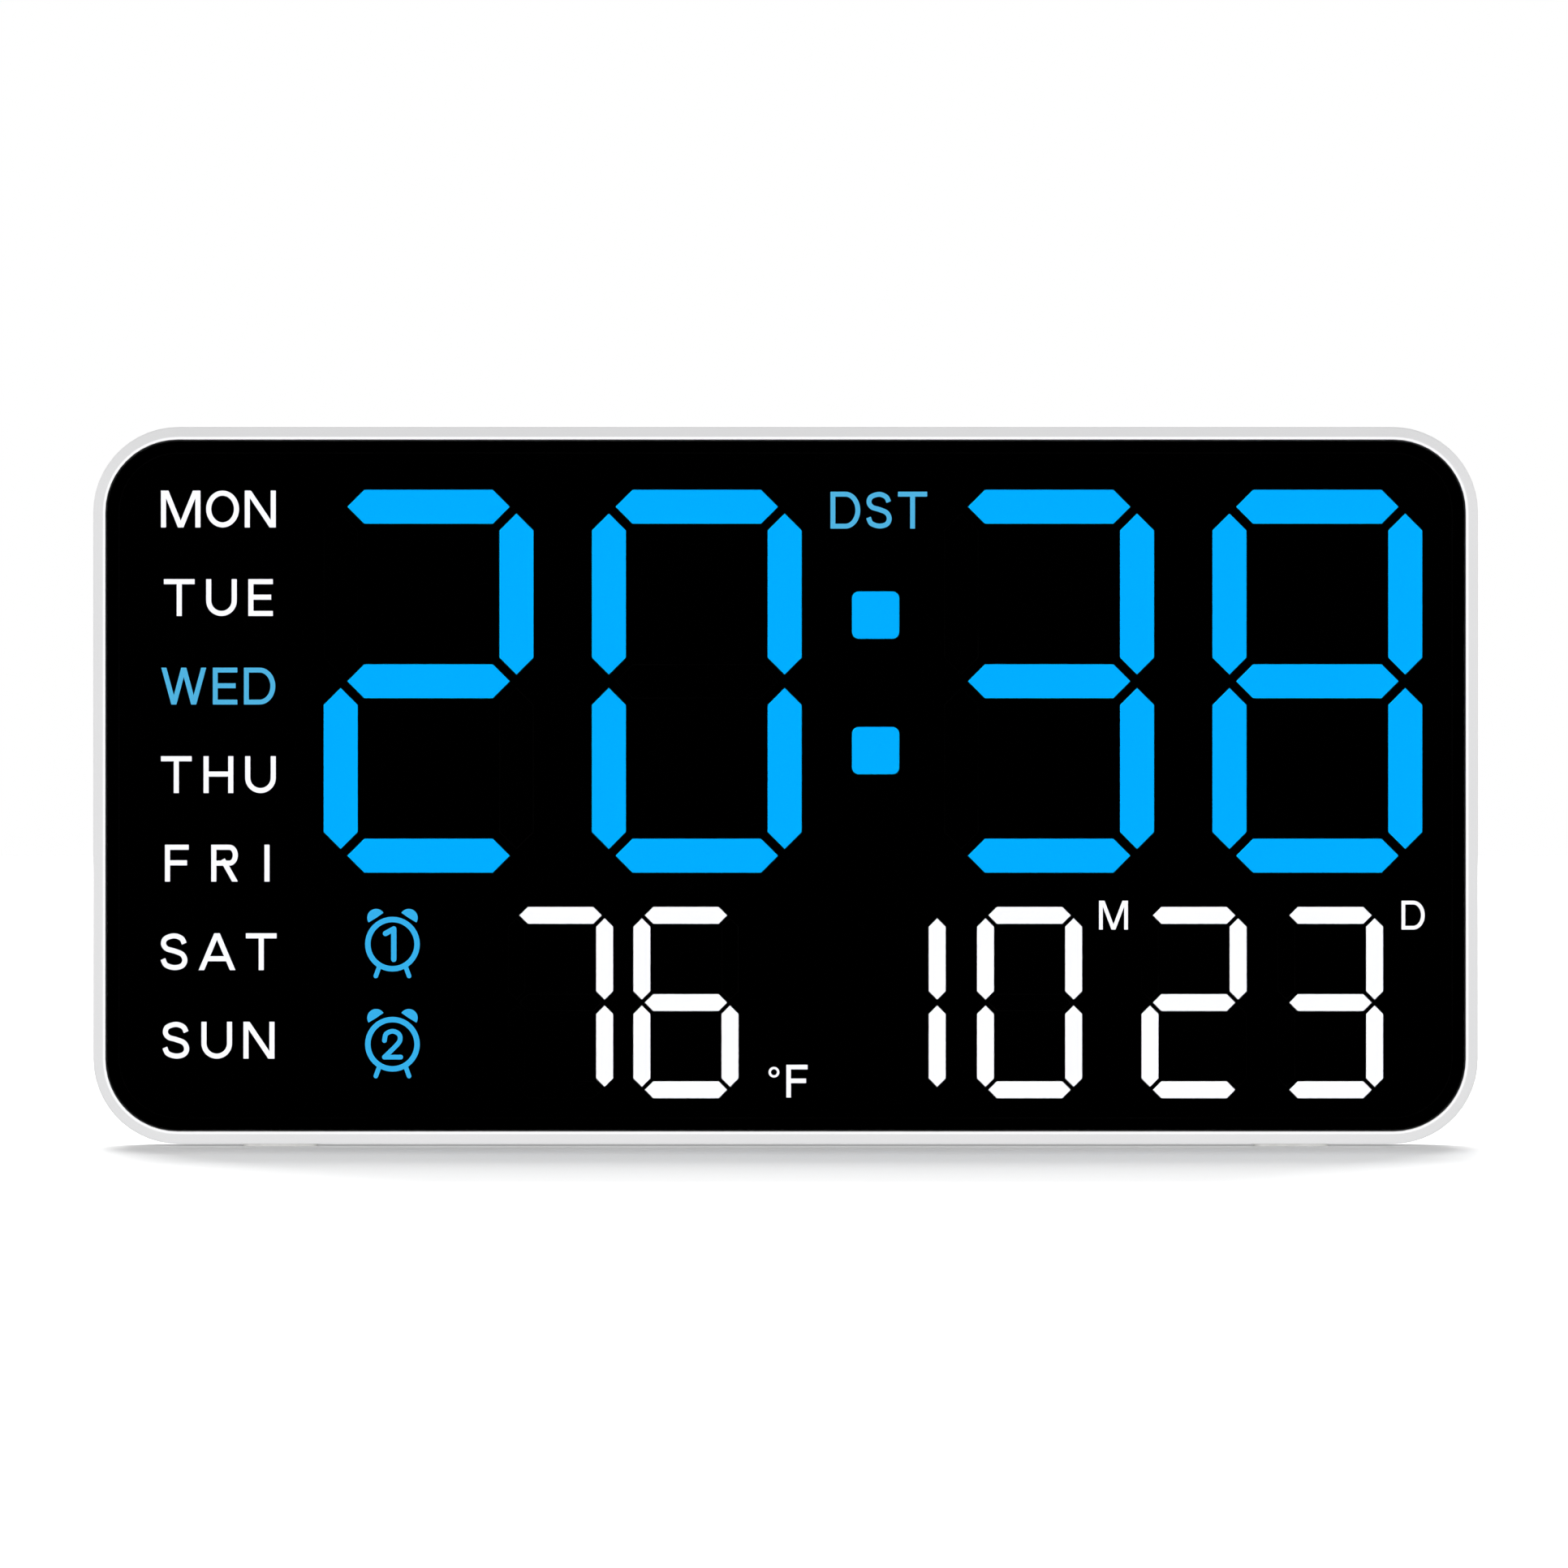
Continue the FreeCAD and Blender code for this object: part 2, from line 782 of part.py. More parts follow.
def lens_tape():
    ring = case_block(lens_inset, lens_back, ledge_front)
    return ring.cut(case_block(lens_inset + tape_width, lens_back - over, ledge_front + over))


def display_mask():
    film = case_block(mask_inset, mask_front, ledge_front)
    y0 = mask_front - over
    y1 = ledge_front + over
    return film.cut(bar_blocks(TIME_DIGITS + CALENDAR_DIGITS, y0, y1) + dot_blocks(y0, y1))


# Light box: front plate, a walled block around each digit and label, and the wells through them

def digit_envelopes(figures, y0, y1):
    """A block around each digit, with a wall outside its outermost bars."""
    blocks = []
    for figure in figures:
        size = figure.size
        reach = size.stroke / 2 + size.block_wall
        left = figure.x - reach - (size.pitch_x / 2 if "f" in figure.bars else -size.pitch_x / 2)
        right = figure.x + size.pitch_x / 2 + reach
        up = size.pitch_z + reach
        blocks.append(box(left, right, y0, y1, figure.z - up, figure.z + up))
    return blocks


def digit_cores():
    """The hollows between the bars, open to the back, that keep the walls even."""
    cores = []
    for figure in TIME_DIGITS + CALENDAR_DIGITS:
        if "g" in figure.bars:
            size = figure.size
            reach = size.stroke / 2 + size.block_wall
            half = size.pitch_x / 2 - reach
            for side in (1, -1):
                z = figure.z + side * size.pitch_z / 2
                up = size.pitch_z / 2 - reach
                y0 = ledge_front + light_box_plate
                y1 = board_front + over
                cores.append(box(figure.x - half, figure.x + half, y0, y1, z - up, z + up))
    return cores


def light_box():
    plate_back = ledge_front + light_box_plate
    plate = case_block(light_box_inset, ledge_front, plate_back)
    ring = case_block(light_box_inset, ledge_front, board_front)
    ring = ring.cut(case_block(light_box_inset + light_box_wall, ledge_front - over, board_front + over))
    blocks = digit_envelopes(TIME_DIGITS + CALENDAR_DIGITS, ledge_front, board_front)
    blocks += label_blocks(ledge_front, board_front, label_border + small_block_wall)
    dot_half = colon_side / 2 + digit_block_wall
    for x, z in COLON_DOTS:
        blocks.append(box(x - dot_half, x + dot_half, ledge_front, board_front, z - dot_half, z + dot_half))
    body = joined([plate, ring] + blocks)
    body = body.cut(digit_cores())
    boss_radius = board_screw_shank + small_block_wall
    body = joined([body] + posts(LIGHT_BOX_SCREWS, boss_radius, ledge_front, board_front))
    y0 = ledge_front - over
    y1 = board_front + over
    notches = posts(COVER_SCREWS, cover_post_radius + post_clearance, y0, y1)
    notches += posts(STACK_SCREWS, stack_post_radius + post_clearance, y0, y1)
    pilots = posts(LIGHT_BOX_SCREWS, board_screw_shank + pilot_clearance, board_pilot_bottom, y1)
    return body.cut(light_wells() + notches + pilots)


# Diffusers

def time_segments_lit():
    return Part.makeCompound(bar_blocks(TIME_DIGITS, mask_front, tile_back, tile_clearance, lit))


def calendar_segments_lit():
    return Part.makeCompound(bar_blocks(CALENDAR_DIGITS, mask_front, tile_back, tile_clearance, lit))


def segments_unlit():
    figures = TIME_DIGITS + CALENDAR_DIGITS
    return Part.makeCompound(bar_blocks(figures, mask_front, tile_back, tile_clearance, unlit))


def colon_dots():
    return Part.makeCompound(dot_blocks(mask_front, tile_back, tile_clearance))


def word_diffusers():
    return Part.makeCompound(label_blocks(ledge_front, tile_back, label_border - tile_clearance))


# Display board and what it carries

def display_board():
    board = case_block(board_inset, board_front, board_back)
    y0 = board_front - over
    y1 = board_back + over
    notches = []
    for x, z in COVER_SCREWS:
        half = cover_post_radius + post_clearance
        edge = foot_proud if z < middle_z else foot_proud + case_height
        notches.append(rod(x, z, half, y0, y1))
        notches.append(box(x - half, x + half, y0, y1, min(z, edge), max(z, edge)))
    holes = posts(STACK_SCREWS + LIGHT_BOX_SCREWS, board_screw_shank + screw_clearance, y0, y1)
    return board.cut(notches + holes)


def led(x, z, length, width, upright=False):
    """An LED package on the front of the board."""
    half_x = (width if upright else length) / 2
    half_z = (length if upright else width) / 2
    return box(x - half_x, x + half_x, board_front - led_height, board_front, z - half_z, z + half_z)


def digit_leds(figures):
    packages = []
    for figure in figures:
        size = figure.size
        for _, x, z, _, upright in bars_of(figure):
            for share in size.leds:
                shift = share * led_spread
                place = (x, z + shift) if upright else (x + shift, z)
                packages.append(led(*place, size.led_length, size.led_width, upright))
    return packages


def time_leds():
    dots = [led(x, z, led_length, led_width) for x, z in COLON_DOTS]
    return Part.makeCompound(digit_leds(TIME_DIGITS) + dots)


def calendar_leds():
    packages = digit_leds(CALENDAR_DIGITS)
    for item in LABELS:
        for share in item.leds:
            packages.append(led(item.x + share * item.width, item.z, small_led_length, small_led_width))
    return Part.makeCompound(packages)


def chip(x, z, half_x, half_z, legs_x, legs_z):
    """A chip on the back of the board, with legs_x legs above and below and legs_z on each side."""
    body = box(x - half_x, x + half_x, board_back, board_back + chip_height, z - half_z, z + half_z)
    leg_top = board_back + leg_thickness
    solids = [body]
    for index in range(legs_x):
        at = x + (index - (legs_x - 1) / 2) * leg_pitch
        for low, high in ((z - half_z - leg_reach, z - half_z), (z + half_z, z + half_z + leg_reach)):
            solids.append(box(at - leg_width / 2, at + leg_width / 2, board_back, leg_top, low, high))
    for index in range(legs_z):
        at = z + (index - (legs_z - 1) / 2) * leg_pitch
        for low, high in ((x - half_x - leg_reach, x - half_x), (x + half_x, x + half_x + leg_reach)):
            solids.append(box(low, high, board_back, leg_top, at - leg_width / 2, at + leg_width / 2))
    return joined(solids)


def controller_chip():
    return chip(0, chip_z, chip_side / 2, chip_side / 2, chip_legs, chip_legs)


def led_driver_chips():
    return Part.makeCompound([
        chip(side * driver_x, driver_z, driver_length / 2, driver_width / 2, driver_legs, 0)
        for side in (-1, 1)
    ])


def clock_crystal():
    half_x = crystal_length / 2
    half_z = crystal_width / 2
    top = board_back + crystal_height
    radius = half_z - round_end_flat
    return rounded_block(
        crystal_x - half_x, crystal_x + half_x, board_back, top, chip_z - half_z, chip_z + half_z, radius
    )


def smoothing_capacitor():
    can = rod(capacitor_x, usb_height, capacitor_radius, board_back, board_back + capacitor_height)
    return can.makeChamfer(can_chamfer, edges_on_plane(can, board_back + capacitor_height))


def buzzer():
    top = board_back + buzzer_height
    drum = rod(sound_x, sound_z, buzzer_radius, board_back, top)
    return drum.cut(rod(sound_x, sound_z, buzzer_hole_radius, top - buzzer_hole_depth, top + over))


def temperature_sensor():
    bead_y = board_back + sensor_height
    bead_z = vent_z - sensor_thickness / 2
    bead = Part.makeCylinder(sensor_radius, sensor_thickness, Vector(vent_x, bead_y, bead_z), Vector(0, 0, 1))
    legs = [
        rod(vent_x + side * sensor_leg_spacing / 2, vent_z, sensor_leg_radius, board_back, bead_y)
        for side in (-1, 1)
    ]
    return joined([bead] + legs)


def usb_c_shell():
    outer_x = case_width / 2 - usb_setback
    inner_x = outer_x - usb_length
    shell = usb_opening(0, inner_x, outer_x)
    return shell.cut(usb_opening(-usb_shell, inner_x + usb_shell, outer_x + over))


def usb_c_tongue():
    back_x = case_width / 2 - usb_setback - usb_length + usb_shell
    y = board_back + usb_thickness / 2
    half_y = tongue_thickness / 2
    half_z = tongue_width / 2
    z = usb_height
    return box(back_x, back_x + tongue_length, y - half_y, y + half_y, z - half_z, z + half_z)


def key_places():
    """The x of each rear key. The row is centred."""
    return [(index - (key_count - 1) / 2) * key_spacing for index in range(key_count)]


def key_switches():
    half = switch_side / 2
    top = board_back + switch_height
    return Part.makeCompound([
        box(x - half, x + half, board_back, top, key_row_z - half, key_row_z + half)
        for x in key_places()
    ])


def key_plungers():
    base = board_back + switch_height
    return Part.makeCompound([
        rod(x, key_row_z, plunger_radius, base, base + plunger_height) for x in key_places()
    ])


def screw(x, z, seat, shank_radius, length, head_radius, head_height):
    """A screw driven in from the back, with its head on the plane seat."""
    head = rod(x, z, head_radius, seat, seat + head_height)
    shank = rod(x, z, shank_radius, seat - length, seat)
    return joined([head, shank])


def board_screws():
    return Part.makeCompound([
        screw(
            x, z, board_back, board_screw_shank, board_screw_length, board_screw_head, board_screw_head_height
        )
        for x, z in STACK_SCREWS + LIGHT_BOX_SCREWS
    ])


def cover_screws():
    return Part.makeCompound([
        screw(
            x, z, screw_seat, cover_screw_shank, cover_screw_length, cover_screw_head, cover_screw_head_height
        )
        for x, z in COVER_SCREWS
    ])


# Rear cover with the stand pocket, battery well, key strip, keyholes, sound holes and vents

def stand_corners(grow, top_z):
    """The stand's tapered outline, grown by grow, with its lower corners rounded."""
    side_shift = grow * math.hypot(1, stand_slope)
    low = stand_bottom - grow

    def half_at(z):
        return stand_bottom_width / 2 + (z - stand_bottom) * stand_slope + side_shift

    radius = stand_corner + grow
    return (
        (-half_at(low), low, radius),
        (half_at(low), low, radius),
        (half_at(top_z), top_z, 0),
        (-half_at(top_z), top_z, 0),
    )


def pocket_block(grow, y0, y1):
    """The pocket's room, which leaves the stand, its foot pad and its heel a clearance all round."""
    heel_radius = math.hypot(stand_heel_reach, stand_heel_width)
    corners = stand_corners(pocket_clearance + grow, hinge_z + heel_radius + pocket_clearance + grow)
    room = along_y(rounded_face(corners, y0), y0, y1)
    half = stand_pad_length / 2 + pocket_clearance + grow
    foot = box(-half, half, y0, y1, pocket_bottom - grow, stand_bottom)
    return joined([room, foot])


def scoop_places():
    """The finger scoops, on the pocket's edges beside the foot of the stand."""
    z = stand_bottom + scoop_height
    half = stand_bottom_width / 2 + stand_slope * scoop_height
    return ((-half, z), (half, z))


def hinge_bosses():
    """The bosses beside the pocket that take the outer ends of the hinge pins."""
    start = stand_half_at_hinge + pocket_clearance
    length = hinge_pin_in_boss + hinge_pin_end_gap + pocket_wall
    bosses = []
    for side in (-1, 1):
        origin = Vector(side * start, hinge_y, hinge_z)
        boss = Part.makeCylinder(hinge_boss_radius, length, origin, Vector(side, 0, 0))
        ends = sorted((side * start, side * (start + length)))
        low = hinge_z - hinge_boss_radius
        high = hinge_z + hinge_boss_radius
        front_half = boss.common(box(*ends, case_front, hinge_y, low, high))
        web = box(*ends, hinge_y, skin_inside + over / 2, low, high)
        bosses += [front_half, web]
    return bosses


def hinge_bores():
    start = stand_half_at_hinge
    radius = hinge_pin_radius + hinge_pin_clearance
    length = pocket_clearance + hinge_pin_in_boss + hinge_pin_end_gap
    return [
        Part.makeCylinder(radius, length, Vector(side * start, hinge_y, hinge_z), Vector(side, 0, 0))
        for side in (-1, 1)
    ]


def battery_tub():
    """The solid tub of the battery well, before it is bored."""
    radius = door_lug_radius + door_clearance + well_wall
    return rod(well_x, well_z, radius, well_bottom, skin_inside + over / 2)


def battery_cuts():
    """The bores of the battery well: cell pocket, turning groove, door opening, lug entries and slots."""
    turn_radius = door_lug_radius + door_clearance
    cuts = [
        rod(well_x, well_z, cell_radius + cell_clearance, well_floor_top, groove_floor + over / 2),
        rod(well_x, well_z, door_radius + door_clearance, groove_floor, case_back + over),
        rod(well_x, well_z, turn_radius, groove_floor, skin_inside),
    ]
    entry_half = door_lug_half_angle + door_entry_extra_angle
    for middle in (-door_turn, 180 - door_turn):
        cuts.append(sector(
            well_x, well_z, door_hub_radius, turn_radius, middle, entry_half,
            skin_inside - over / 2, case_back + over
        ))
    half = contact_width / 2 + contact_gap
    slot_end = strip_x - contact_thickness - contact_gap
    cuts.append(box(slot_end, well_x, well_floor_top, cell_top, well_z - half, well_z + half))
    for x, z in CONTACT_TAILS:
        half = contact_width / 4 + contact_gap
        x0 = x - contact_thickness - contact_gap
        cuts.append(box(x0, x + contact_gap, well_bottom - over, well_floor_top + over, z - half, z + half))
    return cuts


def door_stops():
    """Two stops in the groove that hold the door's lugs at the locked end of their turn."""
    inner = door_hub_radius + door_clearance
    outer = door_lug_radius + door_clearance + well_wall / 2
    half = door_lug_half_angle / 3
    middle = door_lug_half_angle + half + door_entry_extra_angle / 2
    return [
        sector(well_x, well_z, inner, outer, middle + turn, half, groove_floor, skin_inside)
        for turn in (0, 180)
    ]


def keyhole_cuts(x):
    """The round entry, the slot above it and the pocket behind for a wall screw's head."""
    room = keyhole_entry_radius + keyhole_pocket_margin
    top = keyhole_height + keyhole_travel
    y1 = case_back + over
    half = keyhole_slot_half_width
    return [
        rod(x, keyhole_height, keyhole_entry_radius, skin_inside - over / 2, y1),
        rod(x, top, half, skin_inside - over / 2, y1),
        box(x - half, x + half, skin_inside - over / 2, y1, keyhole_height, top),
        rounded_block(
            x - room, x + room, skin_inside - keyhole_pocket_depth, skin_inside,
            keyhole_height - room, top + room, room / 2
        ),
    ]


def keyhole_tub(x):
    room = keyhole_entry_radius + keyhole_pocket_margin + keyhole_pocket_wall
    back = skin_inside - keyhole_pocket_depth - keyhole_pocket_wall
    top = keyhole_height + keyhole_travel
    return rounded_block(
        x - room, x + room, back, skin_inside + over / 2, keyhole_height - room, top + room, room / 2
    )


def sound_holes():
    """A hexagon of small holes over the buzzer."""
    holes = []
    for row in range(-2, 3):
        in_row = 5 - abs(row)
        z = sound_z + row * sound_hole_pitch * math.sqrt(3) / 2
        for index in range(in_row):
            x = sound_x + (index - (in_row - 1) / 2) * sound_hole_pitch
            holes.append(rod(x, z, sound_hole_radius, skin_inside - over, case_back + over))
    return holes


def vent_slots():
    """Level slots with round ends beside the temperature sensor."""
    slots = []
    half = vent_width / 2
    for index in range(vent_count):
        z = vent_z + (index - (vent_count - 1) / 2) * vent_pitch
        slots.append(rounded_block(
            vent_x - vent_length / 2, vent_x + vent_length / 2, skin_inside - over, case_back + over,
            z - half, z + half, half - round_end_flat
        ))
    return slots


def key_strip():
    """The thicker skin under the sunken key strip."""
    back = strip_floor - key_skin
    half_x = key_strip_length / 2 + key_skin
    half_z = key_strip_width / 2 + key_skin
    return rounded_block(
        -half_x, half_x, back, skin_inside + over / 2, key_row_z - half_z, key_row_z + half_z,
        key_strip_width / 2
    )


def key_strip_cuts():
    half_x = key_strip_length / 2
    half_z = key_strip_width / 2
    recess = rounded_block(
        -half_x, half_x, strip_floor, case_back + over, key_row_z - half_z, key_row_z + half_z,
        half_z - round_end_flat
    )
    y0 = strip_floor - key_skin - over
    holes = [rod(x, key_row_z, key_radius + key_clearance, y0, case_back) for x in key_places()]
    return [recess] + holes


def rear_cover():
    shell = case_block(cover_reveal, parting, case_back)
    shell = shell.makeFillet(back_round, edges_on_plane(shell, case_back))
    shell = shell.cut(case_block(cover_wall_inset, parting - over, skin_inside))
    lip = case_block(cover_lip_inset, parting - cover_lip_length, parting + cover_lip_root)
    lip = lip.cut(case_block(
        cover_lip_inset + cover_lip_thickness,
        parting - cover_lip_length - over, parting + cover_lip_root + over
    ))
    tub_back = pocket_floor - pocket_wall
    additions = [pocket_block(pocket_wall, tub_back, skin_inside + over / 2)]
    additions += [
        rod(x, z, scoop_radius + pocket_wall, tub_back, skin_inside + over / 2) for x, z in scoop_places()
    ]
    additions += hinge_bosses()
    additions += [battery_tub(), key_strip(), keyhole_tub(-keyhole_x), keyhole_tub(keyhole_x)]
    additions += posts(COVER_SCREWS, cover_boss_radius, post_top, skin_inside + over / 2)
    body = joined([shell, lip] + additions)
    cuts = [pocket_block(0, pocket_floor, case_back + over)]
    cuts += [rod(x, z, scoop_radius, pocket_floor, case_back + over) for x, z in scoop_places()]
    cuts += hinge_bores() + battery_cuts() + key_strip_cuts()
    cuts += keyhole_cuts(-keyhole_x) + keyhole_cuts(keyhole_x) + sound_holes() + vent_slots()
    cuts += posts(COVER_SCREWS, cover_screw_head + screw_clearance, screw_seat, case_back + over)
    cuts += posts(COVER_SCREWS, cover_screw_shank + screw_clearance, post_top - over, screw_seat + over)
    cuts += foot_blocks(0, foot_height)
    port_x = case_width / 2 - cover_lip_inset
    cuts.append(usb_opening(2 * usb_clearance, port_x - cover_lip_thickness - over, port_x + over / 2))
    return joined([body.cut(cuts)] + door_stops())


def foot_pads():
    return Part.makeCompound(foot_blocks(0, foot_height))


# Stand, its pins and its pad

def stand():
    plate_front = stand_face - stand_wall
    flange_front = stand_face - stand_depth
    outer = along_y(rounded_face(stand_corners(0, hinge_z), flange_front), flange_front, stand_face)
    below = flange_front - over
    hollow = along_y(rounded_face(stand_corners(-stand_wall, hinge_z), below), below, plate_front)
    shell = outer.cut(hollow)
    half = stand_half_at_hinge
    barrel = Part.makeCylinder(barrel_radius, 2 * half, Vector(-half, hinge_y, hinge_z), Vector(1, 0, 0))
    ribs = []
    for index in range(stand_rib_count):
        x = (index - (stand_rib_count - 1) / 2) * stand_bottom_width / (stand_rib_count + 1)
        ribs.append(box(
            x - stand_rib / 2, x + stand_rib / 2, flange_front + over / 2, plate_front + stand_wall / 2,
            stand_bottom + stand_wall / 2, hinge_z
        ))
    heels = [stand_heel(side * stand_heel_x) for side in (-1, 1)]
    body = joined([shell, barrel] + ribs + heels)
    bores = []
    for side in (-1, 1):
        start = Vector(side * (half - hinge_pin_in_barrel), hinge_y, hinge_z)
        bores.append(Part.makeCylinder(
            hinge_pin_radius, hinge_pin_in_barrel + over, start, Vector(side, 0, 0)
        ))
    return body.cut(bores)


def stand_heel(x):
    """A heel on the barrel whose end meets the pocket floor when the stand is fully open."""
    turn = math.radians(stand_open_angle)
    out_y = -math.cos(turn)
    out_z = math.sin(turn)
    along_y_step = math.sin(turn)
    along_z_step = math.cos(turn)

    def at(reach, along):
        y = hinge_y + reach * out_y + along * along_y_step
        z = hinge_z + reach * out_z + along * along_z_step
        return Vector(x - stand_heel_length / 2, y, z)

    corners = [
        at(0, 0), at(stand_heel_reach, 0), at(stand_heel_reach, stand_heel_width), at(0, barrel_radius),
    ]
    face = Part.Face(Part.makePolygon(corners + corners[:1]))
    return face.extrude(Vector(stand_heel_length, 0, 0))


def stand_hinge_pins():
    inner = stand_half_at_hinge - hinge_pin_in_barrel
    length = hinge_pin_in_barrel + pocket_clearance + hinge_pin_in_boss
    return Part.makeCompound([
        Part.makeCylinder(
            hinge_pin_radius, length, Vector(side * inner, hinge_y, hinge_z), Vector(side, 0, 0)
        )
        for side in (-1, 1)
    ])


def stand_foot_pad():
    half = stand_pad_length / 2
    y1 = stand_face - stand_wall / 2
    return box(-half, half, y1 - stand_pad_width, y1, stand_bottom - stand_pad_height, stand_bottom)


# Keys

def key(x):
    """A push key: round cap in the strip's hole, flange behind the skin and stem to the switch."""
    cap_top = strip_floor + key_proud
    flange_top = strip_floor - key_skin - key_flange_gap
    flange_back = flange_top - key_flange_thickness
    stem_back = board_back + switch_height + plunger_height + key_travel + key_air
    cap = rod(x, key_row_z, key_radius, flange_back, cap_top)
    cap = cap.makeChamfer(key_chamfer, edges_on_plane(cap, cap_top))
    flange = rod(x, key_row_z, key_flange_radius, flange_back, flange_top)
    stem = rod(x, key_row_z, key_stem_radius, stem_back, flange_back + over / 2)
    return joined([cap, flange, stem])


# Battery door, cell and contacts

def battery_door():
    hub_back = door_face - door_plate - door_hub_depth
    disc = rod(well_x, well_z, door_radius, door_face - door_plate, door_face)
    disc = disc.makeChamfer(door_setback, edges_on_plane(disc, door_face))
    hub = rod(well_x, well_z, door_hub_radius, hub_back, door_face - door_plate + over / 2)
    lug_top = skin_inside - door_lug_gap
    lugs = [
        sector(
            well_x, well_z, door_hub_radius - over, door_lug_radius, middle, door_lug_half_angle,
            lug_top - door_lug_thickness, lug_top
        )
        for middle in (0, 180)
    ]
    half = coin_slot_length / 2
    slot = rounded_block(
        well_x - half, well_x + half, door_face - coin_slot_depth, door_face + over,
        well_z - coin_slot_width / 2, well_z + coin_slot_width / 2, coin_slot_width / 2 - round_end_flat
    )
    return joined([disc, hub] + lugs).cut(slot)


def coin_cell():
    cell = rod(well_x, well_z, cell_radius, cell_bottom, cell_top)
    return cell.makeChamfer(cell_chamfer, edges_on_plane(cell, cell_bottom))


def contact_tail_block(x, z):
    """The tail of a contact, down through the floor of the well to its solder end."""
    half = contact_width / 4
    return box(x - contact_thickness, x, well_bottom - contact_tail, cell_bottom, z - half, z + half)


def battery_contacts():
    """A side strip for the cell's positive rim, and a sprung strip under the cell for its negative face."""
    half = contact_width / 2
    (positive_x, positive_z), (negative_x, negative_z) = CONTACT_TAILS
    strip_top = cell_top - contact_thickness
    strip = box(
        positive_x - contact_thickness, positive_x, well_floor_top, strip_top,
        positive_z - half, positive_z + half
    )
    finger_end = negative_x + contact_width
    base_top = well_floor_top + contact_thickness
    base = box(negative_x, finger_end, well_floor_top, base_top, negative_z - half, negative_z + half)
    finger = box(
        finger_end - half, finger_end, base_top, cell_bottom, negative_z - half / 2, negative_z + half / 2
    )
    negative_tail = box(
        negative_x - contact_thickness, negative_x, well_bottom - contact_tail, base_top,
        negative_z - half / 2, negative_z + half / 2
    )
    positive = joined([strip, contact_tail_block(positive_x, positive_z)])
    return Part.makeCompound([positive, joined([base, finger, negative_tail])])


def tube(points, radius):
    """A round lead along straight runs joined by tangent arcs, each as large as its two runs allow."""
    edges = []
    at = points[0]
    for before, here, after in zip(points, points[1:], points[2:]):
        back = before - here
        on = after - here
        setback = 0.45 * min(back.Length, on.Length)
        back.normalize()
        on.normalize()
        half_angle = back.getAngle(on) / 2
        arc_radius = setback * math.tan(half_angle)
        bisector = back + on
        bisector.normalize()
        start = here + back * setback
        end = here + on * setback
        middle = here + bisector * (arc_radius / math.sin(half_angle) - arc_radius)
        edges.append(Part.LineSegment(at, start).toShape())
        edges.append(Part.Arc(start, middle, end).toShape())
        at = end
    edges.append(Part.LineSegment(at, points[-1]).toShape())
    section = Part.Wire([Part.makeCircle(radius, points[0], points[1] - points[0])])
    return Part.Wire(edges).makePipeShell([section], True, False)


def battery_leads():
    """Two thin leads from the contact tails to the socket on the board, square to both at their ends."""
    leads = []
    for (x, z), side in zip(CONTACT_TAILS, (1, -1)):
        start = Vector(x - contact_thickness, well_bottom - contact_tail / 2, z)
        pin_z = well_z + side * socket_pin_pitch / 2
        end = Vector(socket_x + socket_length, board_back + socket_height / 2, pin_z)
        first = start - Vector(lead_end_run, 0, 0)
        second = end + Vector(lead_end_run, 0, 0)
        leads.append(tube([start, first, second, end], lead_radius))
    return Part.makeCompound(leads)


def battery_socket():
    half = socket_width / 2
    top = board_back + socket_height
    return box(socket_x, socket_x + socket_length, board_back, top, well_z - half, well_z + half)


NODES = {
    "front_housing": front_housing,
    "front_lens": front_lens,
    "lens_tape": lens_tape,
    "display_mask": display_mask,
    "light_box": light_box,
    "time_segments_lit": time_segments_lit,
    "calendar_segments_lit": calendar_segments_lit,
    "segments_unlit": segments_unlit,
    "colon_dots": colon_dots,
    "word_diffusers": word_diffusers,
    "display_board": display_board,
    "time_leds": time_leds,
    "calendar_leds": calendar_leds,
    "controller_chip": controller_chip,
    "led_driver_chips": led_driver_chips,
    "clock_crystal": clock_crystal,
    "smoothing_capacitor": smoothing_capacitor,
    "buzzer": buzzer,
    "temperature_sensor": temperature_sensor,
    "usb_c_shell": usb_c_shell,
    "usb_c_tongue": usb_c_tongue,
    "key_switches": key_switches,
    "key_plungers": key_plungers,
    "board_screws": board_screws,
    "rear_cover": rear_cover,
    "cover_screws": cover_screws,
    "foot_pads": foot_pads,
    "stand": stand,
    "stand_hinge_pins": stand_hinge_pins,
    "stand_foot_pad": stand_foot_pad,
    "battery_door": battery_door,
    "coin_cell": coin_cell,
    "battery_contacts": battery_contacts,
    "battery_leads": battery_leads,
    "battery_socket": battery_socket,
}
KEY_NAMES = ("mode_key", "alarm_key", "down_key", "up_key", "light_key")

if __name__ == "__main__":
    os.makedirs("parts", exist_ok=True)
    for name, make in NODES.items():
        make().exportStep("parts/" + name + ".step")
    for name, x in zip(KEY_NAMES, key_places()):
        key(x).exportStep("parts/" + name + ".step")
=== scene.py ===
import math

